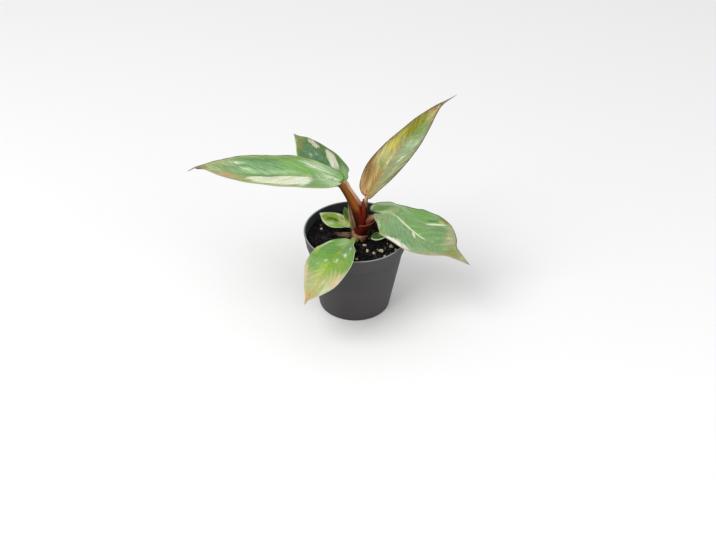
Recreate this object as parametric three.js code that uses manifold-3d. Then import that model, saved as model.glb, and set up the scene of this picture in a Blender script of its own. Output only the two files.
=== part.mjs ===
// A young pink princess philodendron in a round 64 mm grower's pot.
//
// Millimetres, +Z up. The origin is the middle of the pot's foot, -Y is the front and +X the right.
// A leaf is one solid: its blade, and the petiole that runs on under the blade as the midrib.
// The blade is a thin shell round a curved mid-surface. Its form is given in leaf coordinates:
// how far along the midrib (0 at the petiole, 1 at the drip tip), and how far to one side.

import * as THREE from 'three';
import { mergeVertices } from 'three/addons/utils/BufferGeometryUtils.js';
import Module from 'manifold-3d';

const wasm = await Module();
wasm.setup();

// Driving dimensions

// Clearance between neighbouring pieces.
const GAP = 0.3;

const POT = {
  height: 52.5,
  rimRadius: 31.75,
  collarHeight: 9.3,
  collarFootRadius: 30.0,
  bodyTopRadius: 29.3,
  footRadius: 21.7,
  wall: 0.95,
  floor: 1.2,
  recess: 1.2,
  footRingWidth: 2.0,
  hubRadius: 5.0,
  lipRadius: 0.45,
  segments: 48,
};

const DRAIN = { count: 6, radius: 1.8, ringRadius: 12.4, sides: 16 };

const SOIL = {
  level: 46.6,
  mound: 1.7,
  moundRadius: 7,
  relief: 0.42,
  rings: 11,
  // Direction in degrees, wavelength in mm and phase in radians of each ripple in the surface.
  ripples: [
    [12, 9.5, 0.4],
    [71, 6.8, 2.1],
    [128, 7.9, 4.4],
    [163, 5.6, 1.3],
    [39, 5.1, 5.2],
  ],
};

// Pale mineral granules: middle of each, and its half sizes.
const GRANULES = [
  { at: [7.1, -13.2, 47.2], size: [0.9, 1.4, 1.3] },
  { at: [15.3, -12.9, 47.3], size: [1.9, 1.4, 1.2] },
  { at: [11.0, -15.1, 47.0], size: [1.0, 1.1, 0.9] },
  { at: [21.4, -8.3, 47.3], size: [1.5, 1.3, 1.1] },
  { at: [24.4, -11.4, 47.1], size: [1.2, 0.9, 0.9] },
  { at: [0.8, -21.7, 47.1], size: [1.0, 0.9, 0.8] },
  { at: [5.2, -8.0, 47.5], size: [1.6, 0.9, 0.8] },
  { at: [17.6, -17.9, 47.0], size: [0.8, 0.9, 0.7] },
  { at: [-21.2, 8.5, 47.0], size: [0.9, 0.9, 0.8] },
  { at: [-15.6, 20.8, 47.0], size: [0.8, 0.9, 0.7] },
  { at: [12.4, 19.8, 47.1], size: [1.3, 1.0, 0.9] },
];
const GRANULE_ROUGHNESS = 0.16;

const BLADE_THICKNESS = 0.66;
// Where the rows of a half blade are split, as shares of its width.
const BLADE_COLUMNS = [0.32, 0.62, 0.85, 1];
const SMALL_COLUMNS = [0.5, 1];
// The top of the midrib lies this far above the blade's mid-surface, inside the blade.
const MIDRIB_RISE = 0.12;

// The short stem. A path is a row of [x, y, z, radius].
const STEM = [
  [2.5, -1.0, 37, 2.8],
  [2.6, -1.0, 47, 3.2],
  [3.2, -0.4, 54, 3.3],
  [3.9, 0.2, 59, 3.1],
  [4.1, 0.4, 61, 2.5],
];

// The sheath round the stem from which the right leaf's stalk branches off. It flares to the right,
// and its rim rises with it: the height over the Z axis, and the rise for each mm to the right.
const SLEEVE = [
  [2.6, -1.0, 47.6, 4.1],
  [3.2, -0.8, 51, 4.3],
  [4.3, -0.6, 55, 4.7],
  [5.4, -0.4, 58.5, 5.2],
  [6.2, -0.2, 62, 5.5],
  [6.6, -0.1, 65, 5.6],
];
const SLEEVE_RIM = { height: 58.8, slope: 0.28 };

// The cup at the stem's foot, the base of the front leaf's stalk.
const CUP = [
  [2.5, -1.0, 45.4, 4.5],
  [2.5, -1.2, 49.2, 5.1],
  [2.6, -1.3, 52.4, 5.2],
];

// Each leaf: petiole path, midrib radius at its two ends, spine of the blade, the blade's face
// direction at base and tip, its two outlines as [share of the midrib, half width], the angle at
// which each half rises from the midrib at base and tip, and how far it curls down at its widest.
const LEAVES = {
  leaf_long_left: {
    colour: 0x86a766,
    petiole: [
      [2.9, -1.0, 57.5, 3.0],
      [-0.3, -1.0, 68.5, 2.65],
      [-4.1, -0.6, 76.8, 2.3],
      [-7.5, -0.3, 83, 2.1],
      [-9.4, -0.1, 85.6, 2.0],
    ],
    midrib: [1.3, 0.4],
    spine: [
      [-9.5, 0, 87.5], [-19, -1, 90.5], [-34, -3, 93.5], [-51, -5, 94.5],
      [-69, -7, 97], [-86, -9, 101], [-93.5, -9.5, 102], [-99, -10, 99.5],
    ],
    face: [[0, -0.15, 1], [0, -0.25, 1]],
    left: [
      [0, 0], [0.005, 2.6], [0.035, 6.2], [0.085, 10.6], [0.18, 13.7],
      [0.38, 14], [0.62, 10.5], [0.8, 7], [0.91, 1.4], [1, 0],
    ],
    right: [
      [0, 0], [-0.02, 3.2], [0, 6.5], [0.07, 9], [0.2, 12.6], [0.4, 13.8], [0.62, 12.1],
      [0.8, 6.3], [0.92, 1.1], [1, 0],
    ],
    rise: { left: [17, 24], right: [17, 24] },
    curl: 6,
    rows: 22,
  },
  leaf_back_left: {
    colour: 0x5f8a5c,
    petiole: [
      [3.6, 1.7, 57.5, 2.3],
      [2.3, 2.2, 66.5, 2.3],
      [0.6, 3.4, 71, 1.95],
      [-1.4, 5.0, 73.6, 1.75],
      [-4.8, 7.2, 78.2, 1.5],
      [-6.4, 7.9, 81.6, 1.35],
    ],
    midrib: [0.9, 0.35],
    spine: [[-6.5, 8, 83], [-13.5, 12, 88], [-22.5, 17, 94], [-31.5, 21, 101], [-38.5, 23, 106]],
    face: [[0.1, -0.3, 0.93], [0.1, -0.3, 0.93]],
    left: [
      [0, 0], [0.01, 4], [0.07, 8.5], [0.2, 11], [0.4, 12.5],
      [0.6, 11.8], [0.78, 9.2], [0.88, 5.5], [0.95, 2.2], [1, 0],
    ],
    right: [
      [0, 0], [0.02, 3.2], [0.065, 5.4], [0.095, 8.8], [0.2, 10.4], [0.4, 11], [0.6, 9],
      [0.78, 5.3], [0.9, 1.8], [1, 0],
    ],
    rise: { left: [-4, -4], right: [-4, -4] },
    curl: 20,
    rows: 16,
  },
  leaf_upright_right: {
    colour: 0x9a8d4c,
    petiole: [
      [5.3, 1.3, 57.5, 1.7],
      [5.2, 1.2, 66, 1.4],
      [5.4, 0.7, 72, 1.3],
      [5.5, 0.3, 75.6, 1.25],
    ],
    midrib: [0.9, 0.3],
    spine: [
      [5.5, 0, 77], [12, 3, 88], [22, 6, 104], [33, 9, 118], [45.5, 11, 134], [56.5, 12, 142.5],
    ],
    face: [[-0.42, -0.8, 0.42], [-0.38, -0.82, 0.44]],
    left: [
      [0, 0], [0.015, 4.5], [0.07, 8], [0.2, 10.5], [0.36, 9.3],
      [0.52, 7.2], [0.66, 5.4], [0.8, 2.4], [0.9, 0.6], [1, 0],
    ],
    right: [
      [0, 0], [0.015, 3], [0.1, 5], [0.22, 7.6], [0.36, 9.2],
      [0.52, 8.6], [0.68, 6], [0.8, 2.8], [0.88, 0.8], [1, 0],
    ],
    rise: { left: [16, 12], right: [16, 12] },
    curl: 10,
    rows: 20,
  },
  leaf_heart_right: {
    colour: 0x7fa374,
    petiole: [
      [5.6, -0.5, 56.5, 2.2],
      [7.7, -0.4, 60.9, 2.0],
      [10.0, 0.1, 62.4, 1.8],
      [12.5, 1.0, 62.8, 1.6],
    ],
    midrib: [1.2, 0.35],
    spine: [
      [14, 1.6, 64.6], [22.5, -1.2, 65.5], [29, -5.8, 62.3], [38, -12, 58],
      [50, -17, 53.5], [59.3, -19.5, 50], [68.4, -23.5, 46.3],
    ],
    face: [[0.1, -0.35, 1], [0.3, -0.33, 1]],
    left: [
      [0, 0], [-0.045, 0.2], [-0.1, 1.2], [-0.114, 4.4], [-0.085, 7.9], [-0.005, 9.9],
      [0.07, 10.1], [0.127, 9.5], [0.195, 12.9], [0.305, 18.2], [0.44, 21], [0.61, 20.6],
      [0.73, 17], [0.79, 11.2], [0.815, 6], [0.875, 3.2], [1, 0],
    ],
    right: [
      [0, 0], [-0.04, 0.7], [-0.05, 2.4], [-0.03, 4.8], [0.01, 8.2], [0.037, 12.3],
      [0.08, 16.8], [0.17, 18.6], [0.255, 17.8], [0.35, 16.5], [0.46, 15], [0.565, 12],
      [0.66, 8.4], [0.74, 4.8], [0.835, 3], [0.925, 1.3], [1, 0],
    ],
    rise: { left: [-4, 13], right: [12, 12] },
    curl: 12,
    rows: 26,
  },
  leaf_front_left: {
    colour: 0x8fae5c,
    petiole: [
      [1.2, -3.4, 49.4, 2.0],
      [-0.9, -6.6, 50.6, 1.9],
      [-2.3, -8.6, 50.7, 1.5],
    ],
    midrib: [0.9, 0.35],
    spine: [
      [-2.5, -9, 51.8], [-8, -18, 52.6], [-12, -28, 54.6], [-15.5, -36, 52.6],
      [-19.5, -41, 46.8], [-24.5, -44, 39.5], [-29.5, -45.5, 30.5],
    ],
    face: [[-0.1, 0.1, 1], [-0.2, -0.15, 1]],
    left: [
      [0, 0], [0.02, 3], [0.1, 5.7], [0.2, 9], [0.35, 12.8], [0.5, 16.2], [0.6, 16.2],
      [0.7, 13.6], [0.83, 7.6], [0.93, 2.2], [1, 0],
    ],
    right: [
      [0, 0], [0.02, 3.7], [0.1, 8.1], [0.2, 10.6], [0.35, 12.4], [0.52, 13.9], [0.68, 13.6],
      [0.85, 7.4], [0.94, 2.2], [1, 0],
    ],
    rise: { left: [14, 20], right: [14, 20] },
    curl: 10,
    rows: 20,
  },
  leaf_small_left: {
    colour: 0x8fb04a,
    petiole: [[0.4, 1.8, 49.0, 1.0], [-1.4, 4.2, 49.8, 0.9], [-2.8, 5.7, 50.2, 0.75]],
    midrib: [0.6, 0.3],
    spine: [[-3, 6, 51], [-10, 9, 52.5], [-15.5, 12, 53], [-22.5, 14, 55]],
    face: [[0, -0.38, 0.93], [0, -0.38, 0.93]],
    left: [
      [0, 0], [0.03, 1.1], [0.14, 2.2], [0.27, 4.2], [0.5, 6], [0.8, 4.9], [1, 0],
    ],
    right: [
      [0, 0], [0.03, 1.5], [0.25, 4.2], [0.5, 4.8], [0.7, 3.5], [0.86, 1.8], [1, 0],
    ],
    rise: { left: [12, 12], right: [12, 12] },
    curl: 20,
    rows: 10,
    columns: SMALL_COLUMNS,
  },
  leaf_bud_behind: {
    colour: 0x5f8a3a,
    petiole: [[2.2, 2.6, 49.4, 0.9], [-0.6, 6.0, 51.2, 0.8], [-2.8, 8.0, 53.3, 0.65]],
    midrib: [0.55, 0.3],
    spine: [[-3.2, 8.4, 54.2], [-5.4, 10.2, 57.4], [-7.3, 12, 61.3]],
    face: [[-0.3, -0.75, 0.6], [-0.3, -0.75, 0.6]],
    left: [[0, 0], [0.08, 1.3], [0.35, 2.6], [0.7, 2], [1, 0]],
    right: [[0, 0], [0.08, 1.3], [0.35, 2.6], [0.7, 2], [1, 0]],
    rise: { left: [15, 10], right: [15, 10] },
    curl: 10,
    rows: 8,
    columns: SMALL_COLUMNS,
  },
  leaf_small_right: {
    colour: 0x6f8f4a,
    petiole: [[4.6, -1.8, 48.4, 1.0], [7.4, -2.2, 48.4, 0.8], [8.6, -2.3, 48.5, 0.7]],
    midrib: [0.6, 0.3],
    spine: [[9.2, -2.4, 49.2], [13.5, -2.6, 50], [18.6, -2.8, 50.6]],
    face: [[0, -0.6, 1], [0, -0.6, 1]],
    left: [[0, 0], [0.06, 1.5], [0.35, 3.2], [0.7, 2.4], [1, 0]],
    right: [[0, 0], [0.06, 1.2], [0.35, 2.2], [0.7, 1.7], [1, 0]],
    rise: { left: [12, 12], right: [12, 12] },
    curl: 10,
    rows: 8,
    columns: SMALL_COLUMNS,
  },
};

// The rolled new leaf between the stalks, and two sheath leaves at the stem's foot.
const SPEAR = [
  [4.2, -1.3, 57.5, 1.5],
  [4.2, -1.3, 66, 1.5],
  [4.0, -1.0, 71.5, 1.15],
  [3.9, -0.6, 76.2, 0.35],
];
const PALE_SHEATH = [
  [-1.2, 1.2, 53.4, 1.5],
  [-2.2, 1.8, 57, 1.6],
  [-3.6, 2.8, 62.5, 1.3],
  [-4.8, 3.5, 69.5, 0.45],
];
const DRIED_SHEATH = [
  [-0.5, -1.8, 49.2, 1.6],
  [-4.0, -1.2, 49.6, 1.8],
  [-8.5, -0.4, 49.4, 1.5],
  [-12.4, 0.8, 49.6, 0.7],
];

// Sides of a round stalk, and its steps between two points of its path.
const STALK = { sides: 8, steps: 2 };

// Curves and closed geometries

function curveThrough(points) {
  const vectors = points.map(([x, y, z = 0]) => new THREE.Vector3(x, y, z));
  return new THREE.CatmullRomCurve3(vectors, false, 'catmullrom', 0.5);
}

function geometryOf(positions, triangles) {
  const geometry = new THREE.BufferGeometry();
  geometry.setAttribute('position', new THREE.Float32BufferAttribute(positions, 3));
  geometry.setIndex(triangles);
  return geometry;
}

// A closed round rod along a path of [x, y, z, radius], everywhere `grow` fatter and longer.
function rod(path, { grow = 0, sides = STALK.sides, tip = 0.25 } = {}) {
  const curve = curveThrough(path);
  const spans = path.length - 1;
  const steps = spans * STALK.steps;
  const normal = new THREE.Vector3();
  const positions = [];
  const triangles = [];

  const radiusAt = (t) => {
    const span = Math.min(Math.floor(t * spans), spans - 1);
    return THREE.MathUtils.lerp(path[span][3], path[span + 1][3], t * spans - span) + grow;
  };
  const push = (v) => positions.push(v.x, v.y, v.z);

  for (let i = 0; i <= steps; i++) {
    const t = i / steps;
    const tangent = curve.getTangent(t);
    const centre = curve.getPoint(t);
    if (i === 0) {
      centre.addScaledVector(tangent, -grow);
      const across = Math.abs(tangent.x) < 0.8 ? new THREE.Vector3(1, 0, 0) : new THREE.Vector3(0, 1, 0);
      normal.copy(across);
    }
    if (i === steps) centre.addScaledVector(tangent, grow);
    normal.addScaledVector(tangent, -normal.dot(tangent)).normalize();
    const binormal = new THREE.Vector3().crossVectors(tangent, normal);
    const radius = radiusAt(t);
    for (let k = 0; k < sides; k++) {
      const angle = (2 * Math.PI * k) / sides;
      const rim = centre.clone();
      rim.addScaledVector(normal, radius * Math.cos(angle));
      rim.addScaledVector(binormal, radius * Math.sin(angle));
      push(rim);
    }
    if (i === 0 || i === steps) {
      const outward = i === 0 ? -tip : tip;
      push(centre.clone().addScaledVector(tangent, outward * radius));
    }
  }

  // The point of the first end follows the first ring, so the later rings start one vertex on.
  const ring = (i) => (i === 0 ? 0 : i * sides + 1);
  const firstPoint = sides;
  const lastPoint = ring(steps) + sides;
  for (let k = 0; k < sides; k++) {
    const next = (k + 1) % sides;
    triangles.push(firstPoint, next, k);
    triangles.push(lastPoint, ring(steps) + k, ring(steps) + next);
    for (let i = 0; i < steps; i++) {
      const [a, b, c, d] = [ring(i) + k, ring(i) + next, ring(i + 1) + next, ring(i + 1) + k];
      triangles.push(a, b, c, a, c, d);
    }
  }
  return geometryOf(positions, triangles);
}

// The mid-surface of a leaf's blade.
class BladeSurface {
  constructor(leaf) {
    this.leaf = leaf;
    this.spine = curveThrough(leaf.spine);
    this.length = this.spine.getLength();
    this.outline = {};
    for (const side of ['left', 'right']) {
      this.outline[side] = curveThrough(leaf[side].map(([share, width]) => [share * this.length, width]));
    }
    this.halfWidth = Math.max(...leaf.left.map(([, w]) => w), ...leaf.right.map(([, w]) => w));
  }

  // Point on the spine, its direction, the way the blade faces, and the way to the left margin.
  frame(share) {
    const inside = THREE.MathUtils.clamp(share, 0, 1);
    const tangent = this.spine.getTangentAt(inside);
    const point = this.spine.getPointAt(inside);
    point.addScaledVector(tangent, (share - inside) * this.length);
    const [base, tip] = this.leaf.face.map((v) => new THREE.Vector3(...v).normalize());
    const facing = base.lerp(tip, THREE.MathUtils.smoothstep(inside, 0, 1));
    facing.addScaledVector(tangent, -facing.dot(tangent)).normalize();
    const left = new THREE.Vector3().crossVectors(facing, tangent);
    return { point, tangent, facing, left };
  }

  // A half leaves the midrib at its rise angle and curls down in an arc. Left offsets are positive.
  at(share, offset) {
    const { point, facing, left } = this.frame(share);
    const [base, tip] = offset >= 0 ? this.leaf.rise.left : this.leaf.rise.right;
    const inside = THREE.MathUtils.clamp(share, 0, 1);
    const rise = THREE.MathUtils.degToRad(THREE.MathUtils.lerp(base, tip, inside));
    const bend = THREE.MathUtils.degToRad(this.leaf.curl) / this.halfWidth;
    const end = rise - bend * Math.abs(offset);
    point.addScaledVector(left, (Math.sign(offset) * (Math.sin(rise) - Math.sin(end))) / bend);
    return point.addScaledVector(facing, (Math.cos(end) - Math.cos(rise)) / bend);
  }

  normal(share, offset) {
    const step = { share: 0.002, offset: 0.1 };
    const along = this.at(share + step.share, offset).sub(this.at(share - step.share, offset));
    const across = this.at(share, offset + step.offset).sub(this.at(share, offset - step.offset));
    return along.cross(across).normalize();
  }

  // Leaf coordinates at row position t and column position k, from -1 (right margin) to 1 (left).
  coordinates(t, k) {
    const margin = this.outline[k >= 0 ? 'left' : 'right'].getPointAt(t);
    const share = THREE.MathUtils.lerp(t, margin.x / this.length, Math.abs(k));
    return [share, margin.y * k];
  }
}

// The blade as a closed shell, with its two faces split into triangles alike.
function bladeShell(surface) {
  const { rows, columns: half = BLADE_COLUMNS } = surface.leaf;
  const columns = [...half.map((k) => -k).reverse(), 0, ...half];
  const last = columns.length - 1;
  const positions = [];
  const triangles = [];
  const grid = [];
  const push = (v) => positions.push(v.x, v.y, v.z) / 3 - 1;

  for (let i = 0; i <= rows; i++) {
    // Rows lie closer near the base and the tip.
    const t = i / rows - 0.07 * Math.sin((2 * Math.PI * i) / rows);
    const isEnd = i === 0 || i === rows;
    const row = [];
    for (const k of isEnd ? [0] : columns) {
      const [share, offset] = surface.coordinates(t, k);
      const middle = surface.at(share, offset);
      const half = surface.normal(share, offset).multiplyScalar(BLADE_THICKNESS / 2);
      row.push({ top: push(middle.clone().add(half)), bottom: push(middle.clone().sub(half)) });
    }
    grid.push(isEnd ? columns.map(() => row[0]) : row);
  }

  const triangle = (a, b, c) => {
    if (a !== b && b !== c && c !== a) triangles.push(a, b, c);
  };
  for (let i = 0; i < rows; i++) {
    for (let j = 0; j < last; j++) {
      const corners = [grid[i][j], grid[i + 1][j], grid[i + 1][j + 1], grid[i][j + 1]];
      const [a, b, c, d] = corners.map((corner) => corner.top);
      const [e, f, g, h] = corners.map((corner) => corner.bottom);
      if (j < last / 2) {
        triangle(a, b, c);
        triangle(a, c, d);
        triangle(e, g, f);
        triangle(e, h, g);
      } else {
        triangle(a, b, d);
        triangle(b, c, d);
        triangle(e, h, f);
        triangle(f, h, g);
      }
    }
    const [left, leftNext] = [grid[i][last], grid[i + 1][last]];
    triangle(left.top, leftNext.top, leftNext.bottom);
    triangle(left.top, leftNext.bottom, left.bottom);
    const [right, rightNext] = [grid[i][0], grid[i + 1][0]];
    triangle(right.top, rightNext.bottom, rightNext.top);
    triangle(right.top, right.bottom, rightNext.bottom);
  }
  return geometryOf(positions, triangles);
}

// The petiole, running on under the blade as its midrib.
function stalkPath(surface) {
  const { petiole, midrib } = surface.leaf;
  const shares = [0.04, 0.2, 0.4, 0.6, 0.78, 0.9];
  const ribs = shares.map((share) => {
    const radius = THREE.MathUtils.lerp(midrib[0], midrib[1], share);
    const { point, facing } = surface.frame(share);
    point.addScaledVector(facing, MIDRIB_RISE - radius);
    return [point.x, point.y, point.z, radius];
  });
  return [...petiole, ...ribs];
}

// Solids, joined and cut

function solid(geometry) {
  const bare = geometry.clone();
  bare.deleteAttribute('normal');
  bare.deleteAttribute('uv');
  const merged = mergeVertices(bare, 1e-4);
  const mesh = new wasm.Mesh({
    numProp: 3,
    vertProperties: merged.attributes.position.array,
    triVerts: new Uint32Array(merged.index.array),
  });
  return new wasm.Manifold(mesh);
}

function geometryFrom(manifold) {
  const { vertProperties, triVerts } = manifold.getMesh();
  const geometry = mergeVertices(geometryOf(Array.from(vertProperties), Array.from(triVerts)), 1e-3);
  // Slivers that a cut leaves behind close up when their corners merge.
  const { array } = geometry.index;
  const kept = [];
  for (let i = 0; i < array.length; i += 3) {
    const [a, b, c] = array.slice(i, i + 3);
    if (a !== b && b !== c && c !== a) kept.push(a, b, c);
  }
  geometry.setIndex(kept);
  return geometry.toNonIndexed();
}

function leafSolid(leaf) {
  const surface = new BladeSurface(leaf);
  return solid(bladeShell(surface)).add(solid(rod(stalkPath(surface))));
}

// Pot

function potProfile() {
  const { footRadius, footRingWidth, hubRadius, recess, floor, height, rimRadius, wall, lipRadius } = POT;
  const collarFoot = height - POT.collarHeight;
  const slope = (rimRadius - POT.collarFootRadius) / POT.collarHeight;
  const lipTop = height - lipRadius;
  return [
    [0, 0],
    [hubRadius, 0],
    [hubRadius + recess, recess],
    [footRadius - footRingWidth - recess, recess],
    [footRadius - footRingWidth, 0],
    [footRadius - 0.4, 0],
    [footRadius, 0.5],
    [POT.bodyTopRadius, collarFoot - 0.3],
    [POT.collarFootRadius, collarFoot],
    [rimRadius - slope * lipRadius, lipTop],
    [rimRadius - 0.1, height - 0.12],
    [rimRadius - 0.3, height],
    [rimRadius - wall + 0.2, height],
    [rimRadius - wall - 0.02, height - 0.2],
    [POT.collarFootRadius - wall, collarFoot],
    [POT.bodyTopRadius - wall - 0.1, collarFoot - 1],
    [footRadius - wall + 0.3, recess + floor],
    [0, recess + floor],
  ];
}

function potSolid() {
  const outline = potProfile().map(([radius, z]) => new THREE.Vector2(radius, z));
  const lathe = new THREE.LatheGeometry(outline, POT.segments);
  lathe.rotateX(Math.PI / 2);
  let pot = solid(lathe);
  for (let i = 0; i < DRAIN.count; i++) {
    const angle = (2 * Math.PI * (i + 0.5)) / DRAIN.count;
    const plug = new THREE.CylinderGeometry(DRAIN.radius, DRAIN.radius, 4 * POT.floor, DRAIN.sides);
    plug.rotateX(Math.PI / 2);
    plug.translate(DRAIN.ringRadius * Math.cos(angle), DRAIN.ringRadius * Math.sin(angle), 1.5 * POT.floor);
    pot = pot.subtract(solid(plug));
  }
  return pot;
}

// Potting mix

// Radius of the pot's inner wall at a height.
function innerRadius(z) {
  const profile = potProfile().slice(-5, -1).reverse();
  const above = profile.findIndex(([, height]) => height >= z);
  const [r1, z1] = profile[above];
  const [r0, z0] = profile[above - 1];
  return THREE.MathUtils.mapLinear(z, z0, z1, r0, r1);
}

function soilHeight(x, y) {
  const [stemX, stemY] = STEM[1];
  const mound = SOIL.mound * Math.exp(-Math.hypot(x - stemX, y - stemY) / SOIL.moundRadius);
  let relief = 0;
  for (const [direction, wavelength, phase] of SOIL.ripples) {
    const heading = THREE.MathUtils.degToRad(direction);
    const distance = x * Math.cos(heading) + y * Math.sin(heading);
    relief += Math.sin((2 * Math.PI * distance) / wavelength + phase);
  }
  return SOIL.level + mound + (SOIL.relief * relief) / Math.sqrt(SOIL.ripples.length);
}

function soilGeometry() {
  const { rings } = SOIL;
  const sectors = POT.segments;
  const floor = POT.recess + POT.floor + GAP;
  const collarFoot = POT.height - POT.collarHeight;
  // Outer corners of the body below its top surface, from the top down.
  const sideHeights = [collarFoot, collarFoot - 1, floor];
  const topRadius = innerRadius(SOIL.level) - GAP - 0.1;
  const positions = [0, 0, soilHeight(0, 0)];
  const triangles = [];

  for (let i = 1; i <= rings; i++) {
    for (let j = 0; j < sectors; j++) {
      const angle = (2 * Math.PI * j) / sectors;
      const radius = (topRadius * i) / rings;
      const [x, y] = [radius * Math.cos(angle), radius * Math.sin(angle)];
      positions.push(x, y, i === rings ? SOIL.level - 0.3 : soilHeight(x, y));
    }
  }
  for (const z of sideHeights) {
    for (let j = 0; j < sectors; j++) {
      const angle = (2 * Math.PI * j) / sectors;
      const radius = innerRadius(z) - GAP;
      positions.push(radius * Math.cos(angle), radius * Math.sin(angle), z);
    }
  }
  const bottom = positions.push(0, 0, floor) / 3 - 1;
  const loops = rings + sideHeights.length;
  const vertex = (loop, j) => 1 + (loop - 1) * sectors + (j % sectors);
  for (let j = 0; j < sectors; j++) {
    triangles.push(0, vertex(1, j), vertex(1, j + 1));
    triangles.push(bottom, vertex(loops, j + 1), vertex(loops, j));
    for (let loop = 1; loop < loops; loop++) {
      triangles.push(vertex(loop, j), vertex(loop + 1, j), vertex(loop + 1, j + 1));
      triangles.push(vertex(loop, j), vertex(loop + 1, j + 1), vertex(loop, j + 1));
    }
  }
  return geometryOf(positions, triangles);
}

// A lumpy pebble. The seed sets where its lumps are.
function granule({ at, size }, seed, grow = 0) {
  const bare = new THREE.IcosahedronGeometry(1, 1);
  bare.deleteAttribute('normal');
  bare.deleteAttribute('uv');
  const pebble = mergeVertices(bare, 1e-4);
  const position = pebble.attributes.position;
  for (let i = 0; i < position.count; i++) {
    const v = new THREE.Vector3().fromBufferAttribute(position, i);
    const lump = Math.sin(3.1 * v.x + seed) * Math.sin(2.7 * v.y + 1.9 * seed) * Math.sin(3.7 * v.z - seed);
    const scale = 1 + GRANULE_ROUGHNESS * lump;
    position.setXYZ(
      i,
      at[0] + v.x * (size[0] + grow) * scale,
      at[1] + v.y * (size[1] + grow) * scale,
      at[2] + v.z * (size[2] + grow) * scale,
    );
  }
  return pebble;
}

// Assembly

const scene = new THREE.Group();
scene.name = 'potted_philodendron';

function addPiece(name, manifold, colour, roughness) {
  const material = new THREE.MeshStandardMaterial({ color: colour, roughness, metalness: 0 });
  const mesh = new THREE.Mesh(geometryFrom(manifold), material);
  mesh.name = name;
  scene.add(mesh);
}

const grown = (path, options = {}) => solid(rod(path, { grow: GAP, ...options }));

// Open-topped sheaths end in a flat rim.
const FLAT = { sides: 20, tip: 0 };

// What lies under the sleeve's sloping rim.
function underRim(manifold, clearance = 0) {
  const { height, slope } = SLEEVE_RIM;
  return manifold.trimByPlane([slope, 0, -1], -(height + clearance) / Math.hypot(1, slope));
}

// The stem's head: what rises out of the sleeve is cut clear of the stem and of the sleeve's rim.
const wideSleeve = SLEEVE.map(([x, y, z, radius]) => [x, y, z, radius + 1.5]);
const head = grown(STEM).add(underRim(grown(wideSleeve, FLAT), GAP));
const foot = grown(STEM).add(underRim(grown(SLEEVE, FLAT), GAP)).add(grown(CUP, FLAT));
const sleeve = underRim(solid(rod(SLEEVE, FLAT)));
const cup = solid(rod(CUP, FLAT));

const leafSolids = {};
for (const [name, leaf] of Object.entries(LEAVES)) leafSolids[name] = leafSolid(leaf);

const stalkOf = (name) => grown(LEAVES[name].petiole);

addPiece('pot', potSolid(), 0x47474a, 0.6);

let soil = solid(soilGeometry()).subtract(grown(STEM)).subtract(grown(CUP, FLAT));
GRANULES.forEach((stone, i) => {
  soil = soil.subtract(solid(granule(stone, i + 1, GAP)));
});
addPiece('potting_mix', soil, 0x241a14, 0.95);
GRANULES.forEach((stone, i) => {
  addPiece(`granule_${i + 1}`, solid(granule(stone, i + 1)), 0xcdb79a, 0.85);
});

addPiece('stem', solid(rod(STEM)), 0x5a1f1c, 0.5);

// Later stalks give way to the earlier ones.
leafSolids.leaf_long_left = leafSolids.leaf_long_left.subtract(head);
leafSolids.leaf_back_left = leafSolids.leaf_back_left.subtract(head).subtract(stalkOf('leaf_long_left'));
const spear = solid(rod(SPEAR, { tip: 0.8 })).subtract(head)
  .subtract(stalkOf('leaf_long_left'))
  .subtract(stalkOf('leaf_back_left'));
leafSolids.leaf_upright_right = leafSolids.leaf_upright_right.subtract(head)
  .subtract(stalkOf('leaf_long_left'))
  .subtract(stalkOf('leaf_back_left'))
  .subtract(stalkOf('leaf_heart_right'))
  .subtract(grown(SPEAR));
leafSolids.leaf_heart_right = leafSolids.leaf_heart_right.add(sleeve).subtract(grown(STEM));
leafSolids.leaf_front_left = leafSolids.leaf_front_left.add(cup).subtract(grown(STEM))
  .subtract(underRim(grown(SLEEVE, FLAT), GAP));
leafSolids.leaf_small_left = leafSolids.leaf_small_left.subtract(foot);
leafSolids.leaf_bud_behind = leafSolids.leaf_bud_behind.subtract(foot).subtract(stalkOf('leaf_small_left'));
leafSolids.leaf_small_right = leafSolids.leaf_small_right.subtract(foot);

for (const [name, leaf] of Object.entries(LEAVES)) addPiece(name, leafSolids[name], leaf.colour, 0.45);

addPiece('new_leaf_spear', spear, 0x8e2f22, 0.45);
const paleSheath = solid(rod(PALE_SHEATH, { tip: 0.8 })).subtract(foot).subtract(stalkOf('leaf_long_left'));
addPiece('sheath_pale', paleSheath, 0xc9a593, 0.6);
addPiece('sheath_dried', solid(rod(DRIED_SHEATH, { tip: 0.8 })).subtract(foot), 0x8b6a58, 0.85);

export default scene;
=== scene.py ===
"""A young pink princess philodendron in a round grower's pot, dressed around its solids.

Points and sizes of the plant are in millimetres, in the frame of the solids: the origin is the
middle of the pot's foot, +Z is up, -Y the front and +X the right. Meshes are in metres.
A leaf's form and markings are given in leaf coordinates: how far along the midrib (0 at the
petiole, 1 at the drip tip, or in mm), and how many mm to one side (left positive).
"""

import math

import bmesh
import bpy
import numpy as np
from bpy.props import FloatProperty, FloatVectorProperty, IntProperty, PointerProperty
from mathutils import Matrix, Vector, noise


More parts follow.
